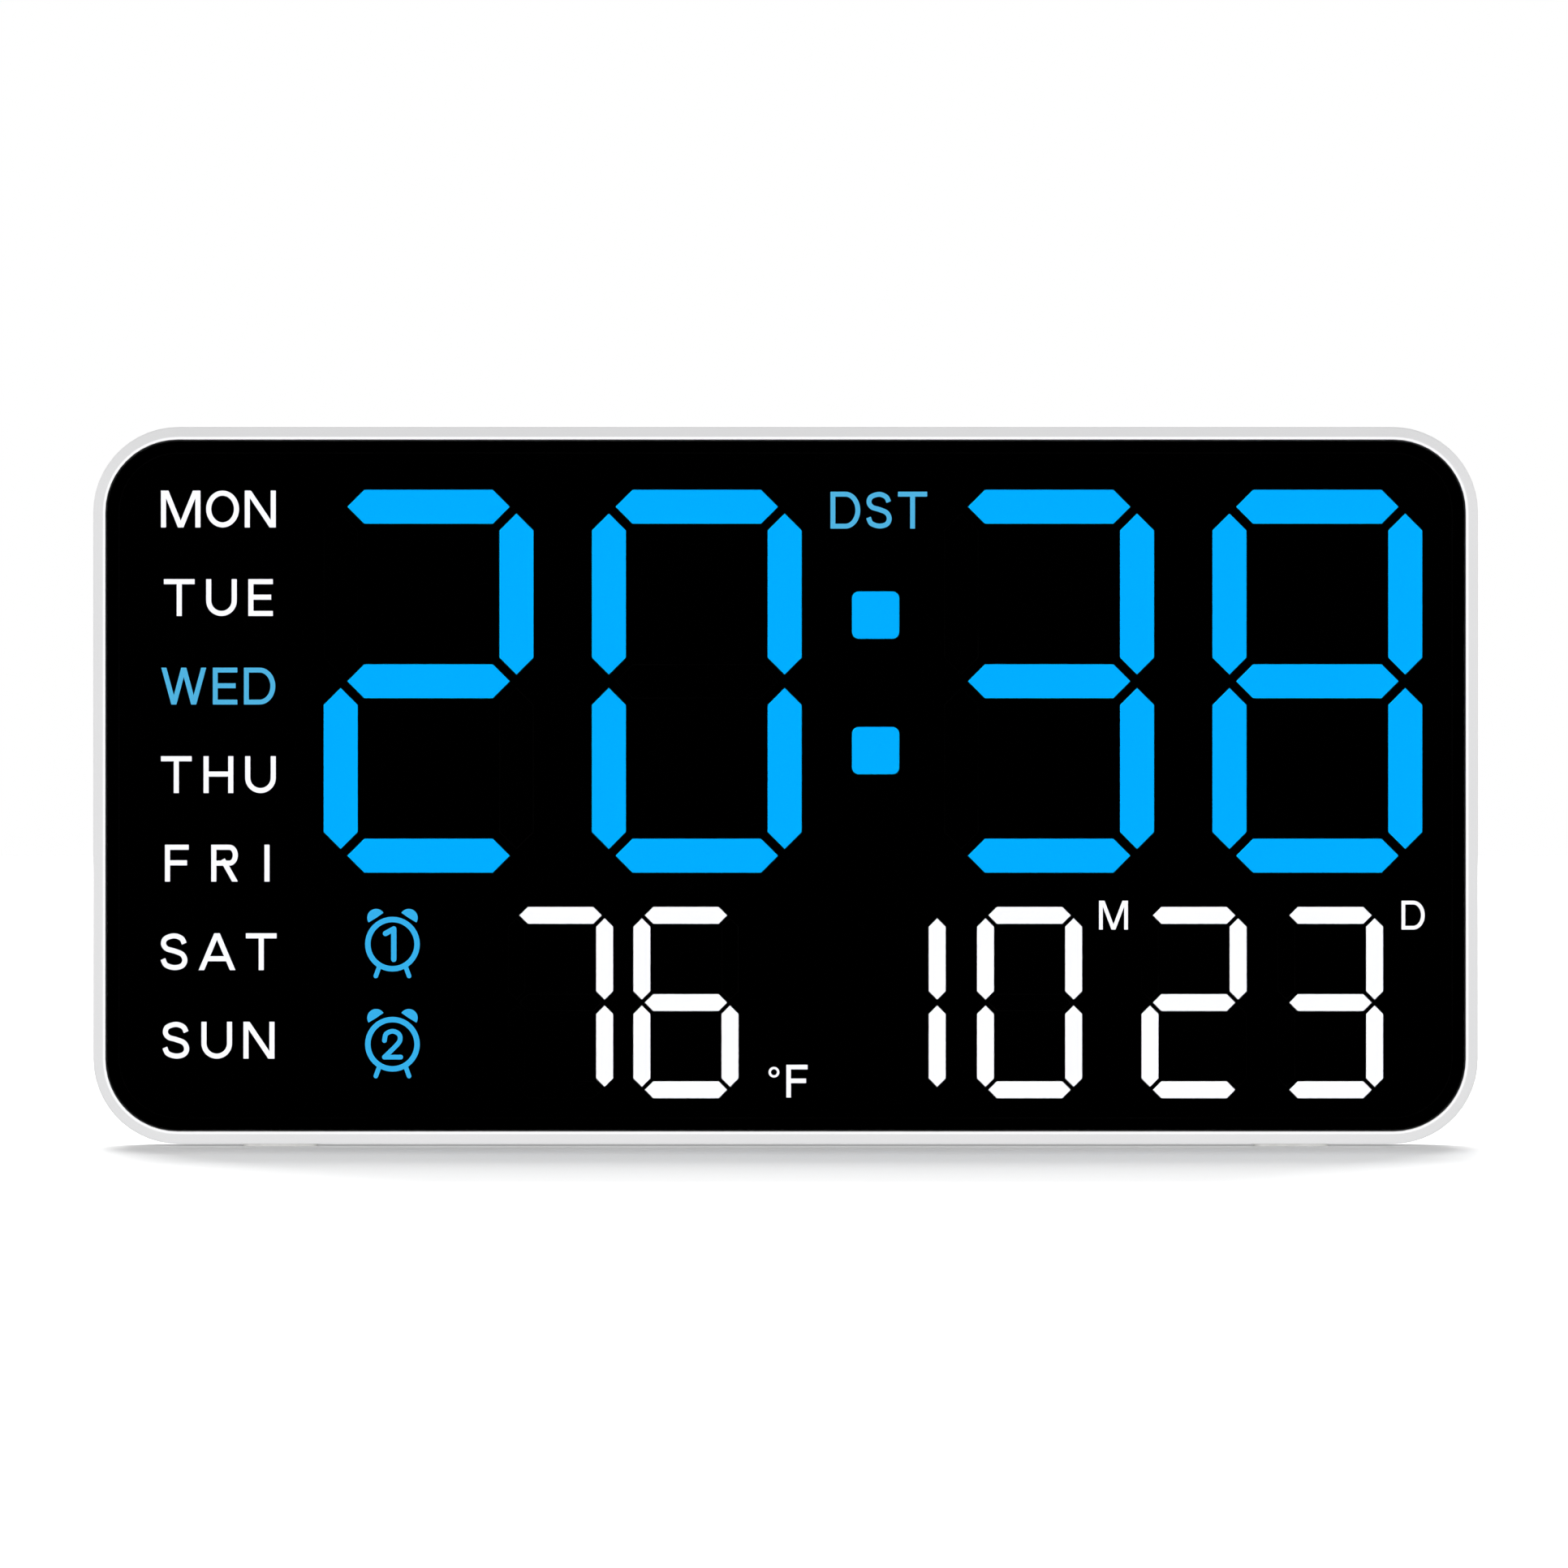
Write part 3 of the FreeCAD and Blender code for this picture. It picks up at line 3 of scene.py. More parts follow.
import bmesh
import bpy
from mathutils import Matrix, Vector


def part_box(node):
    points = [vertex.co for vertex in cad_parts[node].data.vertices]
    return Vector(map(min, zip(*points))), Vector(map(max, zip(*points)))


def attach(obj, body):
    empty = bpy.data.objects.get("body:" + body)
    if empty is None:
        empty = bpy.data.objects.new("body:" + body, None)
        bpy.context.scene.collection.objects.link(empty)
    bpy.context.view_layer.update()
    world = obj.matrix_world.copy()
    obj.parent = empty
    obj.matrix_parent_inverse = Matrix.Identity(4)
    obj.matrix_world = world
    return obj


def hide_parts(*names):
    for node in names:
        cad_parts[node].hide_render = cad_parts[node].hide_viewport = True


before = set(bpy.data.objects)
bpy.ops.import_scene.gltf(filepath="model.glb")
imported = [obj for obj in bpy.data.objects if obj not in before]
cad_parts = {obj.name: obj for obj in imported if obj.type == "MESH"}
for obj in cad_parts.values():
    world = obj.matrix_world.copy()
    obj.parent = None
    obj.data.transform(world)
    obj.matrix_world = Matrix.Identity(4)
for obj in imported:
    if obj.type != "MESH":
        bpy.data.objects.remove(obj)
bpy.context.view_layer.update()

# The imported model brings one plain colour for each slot. Every piece gets a finish of its own below instead.
for plain in list(bpy.data.materials):
    bpy.data.materials.remove(plain)


# ---- Case shells -----------------------------------------------------------------------------------------
# The front housing and the rear cover: two shells injection moulded in white ABS that meet at a parting line.
# The tool is spark eroded, so the skin is an even satin with a very fine grain, a little smoother where hands
# and cloths rub the edges.

MM = 0.001


def linear(colour):
    """An sRGB hex colour as the linear colour that a shader takes."""
    shares = [int(colour[i:i + 2], 16) / 255 for i in (1, 3, 5)]
    return [s / 12.92 if s <= 0.04045 else ((s + 0.055) / 1.055) ** 2.4 for s in shares] + [1.0]


def first_output(feed):
    """The output that feeds a link: the first one in use where a whole node is given."""
    return next(o for o in feed.outputs if o.enabled) if isinstance(feed, bpy.types.Node) else feed


def add(tree, kind, feeds=None, **settings):
    """Adds a node with its settings.

    feeds gives its inputs by identifier, each as a value, a node, an output, or a list of nodes or outputs.
    """
    node = tree.nodes.new(kind)
    for setting, value in settings.items():
        setattr(node, setting, value)
    sockets = {socket.identifier: socket for socket in node.inputs}
    for name, feed in (feeds or {}).items():
        sources = feed if isinstance(feed, list) and not isinstance(feed[0], float) else [feed]
        for source in sources:
            if isinstance(source, (bpy.types.Node, bpy.types.NodeSocket)):
                tree.links.new(first_output(source), sockets[name])
            else:
                sockets[name].default_value = feed
    return node


def start_material(name):
    """A new material, its tree, and the point on the piece in metres that its patterns are laid out by."""
    made = bpy.data.materials.new(name)
    made.use_nodes = True
    made.node_tree.nodes.clear()
    return made, made.node_tree, add(made.node_tree, "ShaderNodeTexCoord").outputs["Object"]


def close_material(tree, tones, tones_to="Base Color", **shader_feeds):
    """Adds the shader with those inputs, an underscore for each space in a name, and the output.

    tones is a share and the two colours that it goes between, or one colour.
    """
    feeds = {name.replace("_", " "): feed for name, feed in shader_feeds.items()}
    if isinstance(tones, str):
        feeds[tones_to] = linear(tones)
    else:
        share, colour, other = tones
        feeds[tones_to] = add(tree, "ShaderNodeMix", {"Factor_Float": share, "A_Color": linear(colour),
                                                      "B_Color": linear(other)}, data_type="RGBA")
    add(tree, "ShaderNodeOutputMaterial", {"Surface": add(tree, "ShaderNodeBsdfPrincipled", feeds)})


def mottle(tree, point, size, low, high, detail=2.0):
    """Noise with spots of that size in metres, as a value that wanders between low and high.

    The noise seldom leaves 0.3 to 0.7, so that range is spread over low to high.
    """
    noise = add(tree, "ShaderNodeTexNoise", {"Vector": point, "Scale": 1 / size, "Detail": detail})
    return add(tree, "ShaderNodeMapRange", {"Value": noise, "From Min": 0.3, "From Max": 0.7,
                                            "To Min": low, "To Max": high})


def moulded(name, colour, shade, roughness, grain, relief, rubbed_edge=None, **shader_feeds):
    """Moulded plastic: spots of grain of that size and depth, and a slow drift of shade.

    rubbed_edge is how far in from its edges hands and cloths have polished it.
    """
    drift_size, drift, spread, edge_polish, rubbed_turn = 40 * MM, 0.4, 0.05, -0.12, 0.85
    made, tree, point = start_material(name)
    share = mottle(tree, point, drift_size, 0.0, drift)
    rough = mottle(tree, point, grain, roughness - spread, roughness + spread)
    feeds = {"Height": mottle(tree, point, grain, 0.0, 1.0), "Distance": relief, "Strength": 0.8}
    if rubbed_edge:
        # Near an edge the rounded normal turns away from the flat one, and their dot product falls below 1.
        flat = add(tree, "ShaderNodeNewGeometry").outputs["Normal"]
        rounded = add(tree, "ShaderNodeBevel", {"Radius": rubbed_edge}, samples=4)
        turned = add(tree, "ShaderNodeVectorMath", {"Vector": flat, "Vector_001": rounded},
                     operation="DOT_PRODUCT").outputs["Value"]
        edge = add(tree, "ShaderNodeMapRange", {"Value": turned, "From Min": 1.0, "From Max": rubbed_turn})
        share = add(tree, "ShaderNodeMath", {"Value": share, "Value_001": edge}, operation="MAXIMUM")
        polish = add(tree, "ShaderNodeMath", {"Value": edge, "Value_001": edge_polish}, operation="MULTIPLY")
        rough = add(tree, "ShaderNodeMath", {"Value": rough, "Value_001": polish}, operation="ADD")
        feeds["Normal"] = rounded
    close_material(tree, (share, colour, shade), Roughness=rough, Normal=add(tree, "ShaderNodeBump", feeds),
                   **shader_feeds)
    return made


def dress(material, *nodes):
    """Gives CAD nodes that finish."""
    for node in nodes:
        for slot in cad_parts[node].material_slots:
            slot.material = material


# The real grain is 0.05 mm, too fine to show, so it is drawn at 0.3 mm. The eye sees a clean white with a
# soft sheen.
shell_abs = moulded("housing_white_abs", "#EFEFF0", "#E8E8E9", roughness=0.42, grain=0.3 * MM,
                    relief=0.008 * MM, rubbed_edge=0.25 * MM, IOR=1.53)
dress(shell_abs, "front_housing", "rear_cover")


# ---- Front lens ------------------------------------------------------------------------------------------
# One flat sheet of smoked acrylic, 2 mm thick, that covers the whole front and reads as deep black.
# It is cut from polished sheet and held in the rim of the housing by a frame of foam tape.

smoked_acrylic, tree, point = start_material("smoked_acrylic")
# Wiping leaves faint smears: patches of slightly rougher polish, about 25 mm across, with fine streaks.
smear = mottle(tree, point, 25 * MM, 0.004, 0.02, detail=4.0)
close_material(tree, "#8A8A8E", Roughness=smear, IOR=1.49, Transmission_Weight=1.0)
dress(smoked_acrylic, "front_lens")

# Closed-cell foam: matte black with 0.4 mm cells that catch a little light at the cut edges.
foam, tree, point = start_material("black_foam_tape")
cells = add(tree, "ShaderNodeTexVoronoi", {"Vector": point, "Scale": 1 / (0.4 * MM)})
close_material(tree, (cells, "#0C0C0C", "#1B1B1B"), Roughness=0.92,
               Normal=add(tree, "ShaderNodeBump", {"Height": cells, "Distance": 0.1 * MM, "Strength": 0.6}))
dress(foam, "lens_tape")


# ---- Display mask ----------------------------------------------------------------------------------------
# A polyester film behind the lens, screen printed dense matte black except for clear windows over the bars.
# The ink is flat, so through the lens the eye sees no surface at all between the lit signs.

ink, tree, point = start_material("black_mask_film")
mesh_print = mottle(tree, point, 0.5 * MM, 0.0, 1.0)
close_material(tree, (mesh_print, "#000000", "#020202"), Roughness=0.85, Specular_IOR_Level=0.1,
               Normal=add(tree, "ShaderNodeBump", {"Height": mesh_print, "Distance": 0.004 * MM,
                                                   "Strength": 0.5}))
dress(ink, "display_mask")


# ---- Light box and its tiles -----------------------------------------------------------------------------
# A white polycarbonate reflector with a well for each bar, dot and word. A diffuser tile fills the front of
# each well: blue for the time digits and the colon, white for the calendar figures. The light box is moulded
# with a high load of white pigment and has a satin skin.

reflector = moulded("reflector_white_pc", "#F7F7F5", "#ECECEA", roughness=0.38, grain=0.4 * MM,
                    relief=0.01 * MM, IOR=1.58)
dress(reflector, "light_box")


def lit_diffuser(name, colour, warmer, strength):
    """A frosted tile lit from behind: even light with a faint drift, as each tile has an LED of its own."""
    made, tree, point = start_material(name)
    drift = mottle(tree, point, 12 * MM, 0.0, 1.0)
    frost = mottle(tree, point, 0.3 * MM, 0.0, 1.0)
    close_material(tree, (drift, colour, warmer), "Emission Color", Emission_Strength=strength,
                   Base_Color=linear("#050607"), Roughness=0.55, Specular_IOR_Level=0.2,
                   Normal=add(tree, "ShaderNodeBump", {"Height": frost, "Distance": 0.02 * MM,
                                                       "Strength": 0.5}))
    return made


# The smoked sheet takes most of the light of what is behind it, so the tiles are brighter than they look.
# The white ones are brighter by a hair, as their LEDs are.
seen_through_lens, white_lift = 4.23, 1.01
lit_blue = lit_diffuser("lit_blue", "#02AEFB", "#02AFFC", seen_through_lens)
lit_white = lit_diffuser("lit_white", "#FFFFFF", "#FDFEFF", seen_through_lens * white_lift)
dress(lit_blue, "time_segments_lit", "colon_dots")
dress(lit_white, "calendar_segments_lit")

# The tiles that are off are smoke tinted, so that they vanish in the black of the mask.
smoke = moulded("unlit_smoke", "#010101", "#020202", roughness=0.6, grain=0.3 * MM, relief=0.01 * MM,
                Specular_IOR_Level=0.15)
dress(smoke, "segments_unlit")
# Behind each word a plate of frosted acrylic spreads the light of its LEDs.
frosted_plate = moulded("label_diffuser", "#DCE0E3", "#D2D7DA", roughness=0.5, grain=0.3 * MM,
                       relief=0.01 * MM, IOR=1.49)
dress(frosted_plate, "word_diffusers")


# ---- Words and signs -------------------------------------------------------------------------------------
# The days, DST, the month and day marks, the degree sign with its F and two numbered bells are translucent
# ink printed on the face of the mask, lit from behind in white or in blue. They are plain strokes with square
# ends, except the numbers and legs of the bells, whose ends are round.

cap_height, white_stroke, blue_stroke = 6.92 * MM, 0.95 * MM, 0.91 * MM
ink_thickness = 0.06 * MM
ink_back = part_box("display_mask")[0].y
ink_front = ink_back - ink_thickness
scene = bpy.context.scene


def arc(x, y, across, up, start, sweep):
    """Points along an ellipse with that centre and half-sizes, from an angle through a sweep in degrees."""
    steps = 40
    turns = [math.radians(start + sweep * i / steps) for i in range(steps + 1)]
    return [(x + across * math.cos(a), y + up * math.sin(a)) for a in turns]


def smooth(points):
    """A Catmull-Rom curve through the points, with ten steps to each stretch."""
    steps = 10
    held = [points[0]] + points + [points[-1]]
    curve = []
    for a, b, c, d in zip(held, held[1:], held[2:], held[3:]):
        for i in range(steps):
            t = i / steps
            curve.append(tuple(
                ((2 * q) + (r - p) * t + (2 * p - 5 * q + 4 * r - s) * t * t
                 + (3 * q - p - 3 * r + s) * t ** 3) / 2
                for p, q, r, s in zip(a, b, c, d)
            ))
    return curve + [points[-1]]


def past(a, b):
    """A slanting stroke drawn past both cap lines, which then cut its ends level."""
    more = 0.3
    return [tuple(p + (p - q) * more for p, q in zip(a, b)), tuple(q + (q - p) * more for p, q in zip(a, b))]


# How wide each capital is, in millimetres.
LETTER_WIDTHS = {
    "A": 6.95, "D": 5.88, "E": 4.60, "F": 4.45, "H": 5.58, "I": 2.20, "M": 7.40, "N": 5.82, "O": 6.18,
    "R": 5.12, "S": 5.25, "T": 5.76, "U": 5.74, "W": 8.45,
}


def letter(name, w, h, stroke):
    """The centrelines of a capital's strokes in a box w by h, with its lower left corner at the origin.

    Crossbars, bowls and diagonals start and end at shares of the box. A slanting stroke is wider along the
    cap lines than an upright one, so those of A and W are set further in.
    """
    inset = stroke / 2
    left, right, foot, top, middle = inset, w - inset, inset, h - inset, w / 2
    left_stem, right_stem = [(left, 0), (left, h)], [(right, 0), (right, h)]
    if name == "A":
        slope = inset * 1.15
        return [past((slope, 0), (middle, h)), past((w - slope, 0), (middle, h)),
                [(0.2 * w, 0.31 * h), (0.8 * w, 0.31 * h)]]
    if name == "D":
        bowl = 0.5 * w
        return [left_stem, [(left, top), (bowl, top)], [(left, foot), (bowl, foot)],
                arc(bowl, h / 2, right - bowl, top - h / 2, -90, 180)]
    if name in "EF":
        arms = [left_stem, [(0, top), (w, top)], [(0, 0.51 * h), (0.93 * w, 0.51 * h)]]
        return arms + ([[(0, foot), (w, foot)]] if name == "E" else [])
    if name == "H":
        return [left_stem, right_stem, [(left, 0.515 * h), (right, 0.515 * h)]]
    if name == "I":
        return [[(middle, 0), (middle, h)]]
    if name == "M":
        return [left_stem, right_stem, past((0.12 * w, h), (middle, 0)), past((0.88 * w, h), (middle, 0))]
    if name == "N":
        return [left_stem, right_stem, past((0.1 * w, h), (0.9 * w, 0))]
    if name == "O":
        return [arc(middle, h / 2, middle - inset, h / 2 - inset, 0, 360)]
    if name == "R":
        bend, waist = 0.66 * w, 0.5 * h
        return [left_stem, [(left, top), (bend, top)], [(left, waist), (bend, waist)],
                arc(bend, (top + waist) / 2, 0.975 * w - inset - bend, (top - waist) / 2, -90, 180),
                past((0.52 * w, 0.46 * h), (0.87 * w, 0))]
    if name == "S":
        through = [(0.86, 0.72), (0.76, 0.86), (0.5, 0.93), (0.2, 0.86), (0.12, 0.71), (0.24, 0.58),
                   (0.5, 0.52), (0.78, 0.43), (0.88, 0.27), (0.78, 0.12), (0.5, 0.07), (0.21, 0.14),
                   (0.1, 0.3)]
        return [smooth([(x * w, y * h) for x, y in through])]
    if name == "T":
        return [[(0, top), (w, top)], [(middle, 0), (middle, h)]]
    if name == "U":
        half = right - middle
        return [[(left, h), (left, foot + half)], [(right, h), (right, foot + half)],
                arc(middle, foot + half, half, half, 180, 180)]
    if name == "W":
        slope = inset * 1.06
        return [past((slope, h), (0.28 * w, 0)), past((0.5 * w, h), (0.28 * w, 0)),
                past((0.5 * w, h), (0.72 * w, 0)), past((w - slope, h), (0.72 * w, 0))]


def word(text, span, height, stroke, narrow=1.0):
    """A word's strokes, its letters spread evenly over the span, centred on the origin."""
    widths = [LETTER_WIDTHS[name] * narrow * MM for name in text]
    gap = (span - sum(widths)) / (len(text) - 1)
    strokes, at = [], -span / 2
    for name, width in zip(text, widths):
        for line in letter(name, width, height, stroke):
            strokes.append(([(x + at, y - height / 2) for x, y in line], stroke, False))
        at += width + gap
    return strokes


def stroke_mesh(name, strokes):
    """The strokes as chains of edges, with each point's stroke width and whether its ends are round."""
    mesh = bpy.data.meshes.new(name + "_strokes")
    points, edges, widths, rounds = [], [], [], []
    for line, width, round_ends in strokes:
        closed = (Vector(line[0]) - Vector(line[-1])).length < 1e-7
        line = line[:-1] if closed else line
        first = len(points)
        points += [(x, y, 0) for x, y in line]
        edges += [(first + i, first + i + 1) for i in range(len(line) - 1)]
        edges += [(len(points) - 1, first)] if closed else []
        widths += [width] * len(line)
        rounds += [round_ends] * len(line)
    mesh.from_pydata(points, edges, [])
    mesh.attributes.new("stroke_width", "FLOAT", "POINT").data.foreach_set("value", widths)
    mesh.attributes.new("round_ends", "BOOLEAN", "POINT").data.foreach_set("value", rounds)
    return mesh


def start_tree(name, **inputs):
    """A Geometry Nodes tree with those named inputs, and the node that brings them in."""
    tree = bpy.data.node_groups.new(name, "GeometryNodeTree")
    tree.interface.new_socket("Geometry", in_out="INPUT", socket_type="NodeSocketGeometry")
    tree.interface.new_socket("Geometry", in_out="OUTPUT", socket_type="NodeSocketGeometry")
    for label, kind in inputs.items():
        tree.interface.new_socket(label, in_out="INPUT", socket_type="NodeSocket" + kind)
    return tree, add(tree, "NodeGroupInput").outputs


def end_tree(tree, result, material):
    """Closes a tree: its instances are made real and given their material."""
    real = add(tree, "GeometryNodeRealizeInstances", {"Geometry": result})
    finished = add(tree, "GeometryNodeSetMaterial", {"Geometry": real, "Material": material})
    tree.links.new(finished.outputs[0], add(tree, "NodeGroupOutput").inputs[0])


def grow(name, seed_mesh, tree, body, slot, **values):
    """Runs a tree on a seed mesh and keeps its result as a plain mesh piece that rides on a body."""
    seed = bpy.data.objects.new(name + "_seed", seed_mesh)
    scene.collection.objects.link(seed)
    modifier = seed.modifiers.new("tree", "NODES")
    modifier.node_group = tree
    for item in tree.interface.items_tree:
        if item.in_out == "INPUT" and item.name in values:
            modifier[item.identifier] = values[item.name]
    graph = bpy.context.evaluated_depsgraph_get()
    mesh = bpy.data.meshes.new_from_object(seed.evaluated_get(graph), depsgraph=graph)
    mesh.name = name
    bpy.data.objects.remove(seed)
    # The joins leave points a hair apart, which are merged before the faces are turned outwards.
    hair = 0.002 * MM
    welded = bmesh.new()
    welded.from_mesh(mesh)
    bmesh.ops.remove_doubles(welded, verts=welded.verts, dist=hair)
    bmesh.ops.dissolve_degenerate(welded, edges=welded.edges, dist=hair)
    bmesh.ops.recalc_face_normals(welded, faces=welded.faces)
    for face in welded.faces:
        face.material_index = 0
    welded.to_mesh(mesh)
    welded.free()
    mesh.materials.clear()
    mesh.materials.append(values["Material"])
    piece = bpy.data.objects.new(name, mesh)
    scene.collection.objects.link(piece)
    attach(piece, body)
    return piece


# The strokes become solid ribbons, the ribbons are joined, and the box of the sign cuts them level all round.
# A ribbon's section and a round end are one unit across, and take the width of their stroke as their scale.
# The round end is less deep than the section, so that no face of it lies in a face of the ribbon.
print_tree, given = start_tree("print_sign", Width="Float", Height="Float", Ink="Float", Place="Vector",
                               Material="Material")
across = add(print_tree, "GeometryNodeInputNamedAttribute", {"Name": "stroke_width"}).outputs["Attribute"]
rounds = add(print_tree, "GeometryNodeInputNamedAttribute", {"Name": "round_ends"}, data_type="BOOLEAN")
chains = add(print_tree, "GeometryNodeMeshToCurve", {"Mesh": given["Geometry"]})
lines = add(print_tree, "GeometryNodeSetCurveNormal", {"Curve": chains}, mode="Z_UP")
section = add(print_tree, "GeometryNodeCurvePrimitiveQuadrilateral", {"Width": 1.0, "Height": 1.0})
ribbons = add(print_tree, "GeometryNodeCurveToMesh", {"Curve": lines, "Profile Curve": section,
                                                      "Scale": across, "Fill Caps": True})
ends = add(print_tree, "GeometryNodeCurveEndpointSelection", {"Start Size": 1, "End Size": 1})
round_end = add(print_tree, "FunctionNodeBooleanMath", {"Boolean": ends, "Boolean_001": rounds})
dot = add(print_tree, "GeometryNodeMeshCylinder", {"Vertices": 32, "Radius": 0.5, "Depth": 0.9})
dots = add(print_tree, "GeometryNodeInstanceOnPoints", {"Points": lines, "Selection": round_end,
                                                        "Instance": dot.outputs["Mesh"], "Scale": across})
loose = add(print_tree, "GeometryNodeJoinGeometry", {"Geometry": [ribbons, dots]})
joined = add(print_tree, "GeometryNodeMeshBoolean", {"Mesh 2": [loose], "Self Intersection": True},
             operation="UNION", solver="EXACT")
extent = add(print_tree, "ShaderNodeCombineXYZ", {"X": given["Width"], "Y": given["Height"],
                                                  "Z": given["Ink"]})
room = add(print_tree, "GeometryNodeMeshCube", {"Size": extent})
cut = add(print_tree, "GeometryNodeMeshBoolean", {"Mesh 2": [joined.outputs["Mesh"], room.outputs["Mesh"]]},
          operation="INTERSECT", solver="EXACT")
upright = add(print_tree, "GeometryNodeTransform", {"Geometry": cut.outputs["Mesh"],
                                                    "Rotation": (math.radians(90), 0, 0),
                                                    "Translation": given["Place"]})
end_tree(print_tree, upright, given["Material"])


def print_sign(name, strokes, x, z, width, height, material, slot, front=ink_front, back=ink_back,
               body="case"):
    """Prints a sign in a layer of ink from front to back, on the mask where these aren't given.

    It is centred on x and z, in a room of that width and height that cuts its strokes level.
    """
    return grow(name, stroke_mesh(name, strokes), print_tree, body, slot, Width=width, Height=height,
                Ink=back - front, Place=(x, (front + back) / 2, z), Material=material)


# Thin strokes let less of the blue LEDs' light through than the tiles do, and look paler.
lit_pale_blue = lit_diffuser("lit_pale_blue", "#52B4DC", "#50B2DA", seen_through_lens)
lit_icon_blue = lit_diffuser("lit_icon_blue", "#38B1E6", "#36AFE4", seen_through_lens)

# The days stand in a column at the left, each with its left and right end in millimetres. Today is blue.
first_row, row_pitch, word_room, today = 119.62 * MM, 16.62 * MM, 24 * MM, "WED"
DAYS = {"MON": (-117.25, -95.7), "TUE": (-116.7, -96.25), "WED": (-117.2, -95.8), "THU": (-117.25, -95.7),
        "FRI": (-116.5, -96.25), "SAT": (-117.4, -95.55), "SUN": (-117.05, -95.95)}
for row, (day, (left_end, right_end)) in enumerate(DAYS.items()):
    stroke, finish, slot = white_stroke, lit_white, "lit_white"
    if day == today:
        stroke, finish, slot = blue_stroke, lit_pale_blue, "lit_blue"
    line = word(day, (right_end - left_end) * MM, cap_height, stroke)
    print_sign("word_" + day.lower(), line, (left_end + right_end) / 2 * MM, first_row - row * row_pitch,
               word_room, cap_height, finish, slot)

dst_x, dst_z, dst_span = 17.5 * MM, 119.4 * MM, 18.15 * MM
print_sign("dst_sign", word("DST", dst_span, cap_height, blue_stroke, narrow=0.95), dst_x, dst_z, word_room,
           cap_height, lit_pale_blue, "lit_blue")

# Small marks stand after the month and day figures, level with their tops, and the degree sign with its F
# after the temperature, at its foot.
small_cap, small_stroke, marks_z, mark_room = 5.42 * MM, 0.7 * MM, 43.38 * MM, 8 * MM


def mark(capital, width, height, stroke, at=0.0):
    """One small capital, centred on the origin, or with its middle moved across by at."""
    lines = letter(capital, width, height, stroke)
    return [([(x - width / 2 + at, y - height / 2) for x, y in line], stroke, False) for line in lines]


for name, capital, width, x in (("month_sign", "M", 5.42 * MM, 61.55 * MM),
                                ("day_sign", "D", 4.36 * MM, 117.8 * MM)):
    print_sign(name, mark(capital, width, small_cap, small_stroke), x, marks_z, mark_room, small_cap,
               lit_white, "lit_white")

unit_x, unit_z, unit_room = 0.315 * MM, 12.22 * MM, 10 * MM
f_width, f_height, f_stroke, f_offset = 3.98 * MM, 6.14 * MM, 0.86 * MM, 1.82 * MM
degree_x, degree_z, degree_radius, degree_stroke = -2.5 * MM, 1.68 * MM, 0.79 * MM, 0.44 * MM
unit = mark("F", f_width, f_height, f_stroke, at=f_offset)
unit.append((arc(degree_x, degree_z, degree_radius, degree_radius, 0, 360), degree_stroke, False))
print_sign("unit_sign", unit, unit_x, unit_z, unit_room, f_height, lit_white, "lit_white")


def alarm_bell(figure, figure_stroke):
    """A twin-bell alarm seen from the front: a ring, two bells, two legs, and its number inside."""
    ring_radius, ring_stroke = 4.63 * MM, 1.02 * MM
    bell_x, bell_z, bell_radius, bell_lean, bell_core = 3.07 * MM, 4.95 * MM, 1.66 * MM, 33, 0.01 * MM
    leg, leg_stroke = [(2.5 * MM, -4.3 * MM), (3.12 * MM, -5.98 * MM)], 0.85 * MM
    strokes = [(arc(0, 0, ring_radius, ring_radius, 0, 360), ring_stroke, False)]
    for side in (-1, 1):
        # A stroke as wide as the bell's radius, bent round at half that radius, fills the bell's half disc,
        # but for a hair at its core that keeps the inner edge of the ribbon from folding over.
        tilt, bend = 90 - side * bell_lean, bell_radius / 2 + bell_core
        strokes.append((arc(side * bell_x, bell_z, bend, bend, tilt - 90, 180), bell_radius, False))
        strokes.append(([(side * x, y) for x, y in leg], leg_stroke, True))
    for line in figure:
        strokes.append(([(x * MM, y * MM) for x, y in line], figure_stroke, True))
    return strokes


alarms_x, alarm_width, alarm_height = -73.80 * MM, 14 * MM, 15 * MM
# For each alarm, how high it stands on the face and the stroke width and lines of its number, in millimetres.
ALARMS = {
    "alarm_sign_1": (37.94, 1.0, [[(0.25, 2.85), (0.25, -2.85)], [(0.25, 2.85), (-1.3, 2.0)]]),
    "alarm_sign_2": (19.15, 0.88, [smooth([(-1.5, 0.7), (-1.2, 1.9), (0.0, 2.44), (1.15, 1.95), (1.45, 1.0),
                                           (0.9, -0.05), (-1.5, -2.42)]), [(-1.5, -2.42), (1.55, -2.42)]]),
}
for name, (z, figure_stroke, figure) in ALARMS.items():
    print_sign(name, alarm_bell(figure, figure_stroke * MM), alarms_x, z * MM, alarm_width, alarm_height,
               lit_icon_blue, "lit_blue")


# ---- Board and its parts ---------------------------------------------------------------------------------
# One glass-epoxy board closes the back of the light box. Green solder mask covers its copper, so the traces
# show as slightly lighter lines. LEDs, drivers, crystal, capacitor, buzzer and sensor are soldered to it.

solder_mask, tree, point = start_material("board_green")
flat_lay = add(tree, "ShaderNodeMapping", {"Vector": point, "Rotation": (math.radians(-90), 0, 0)})
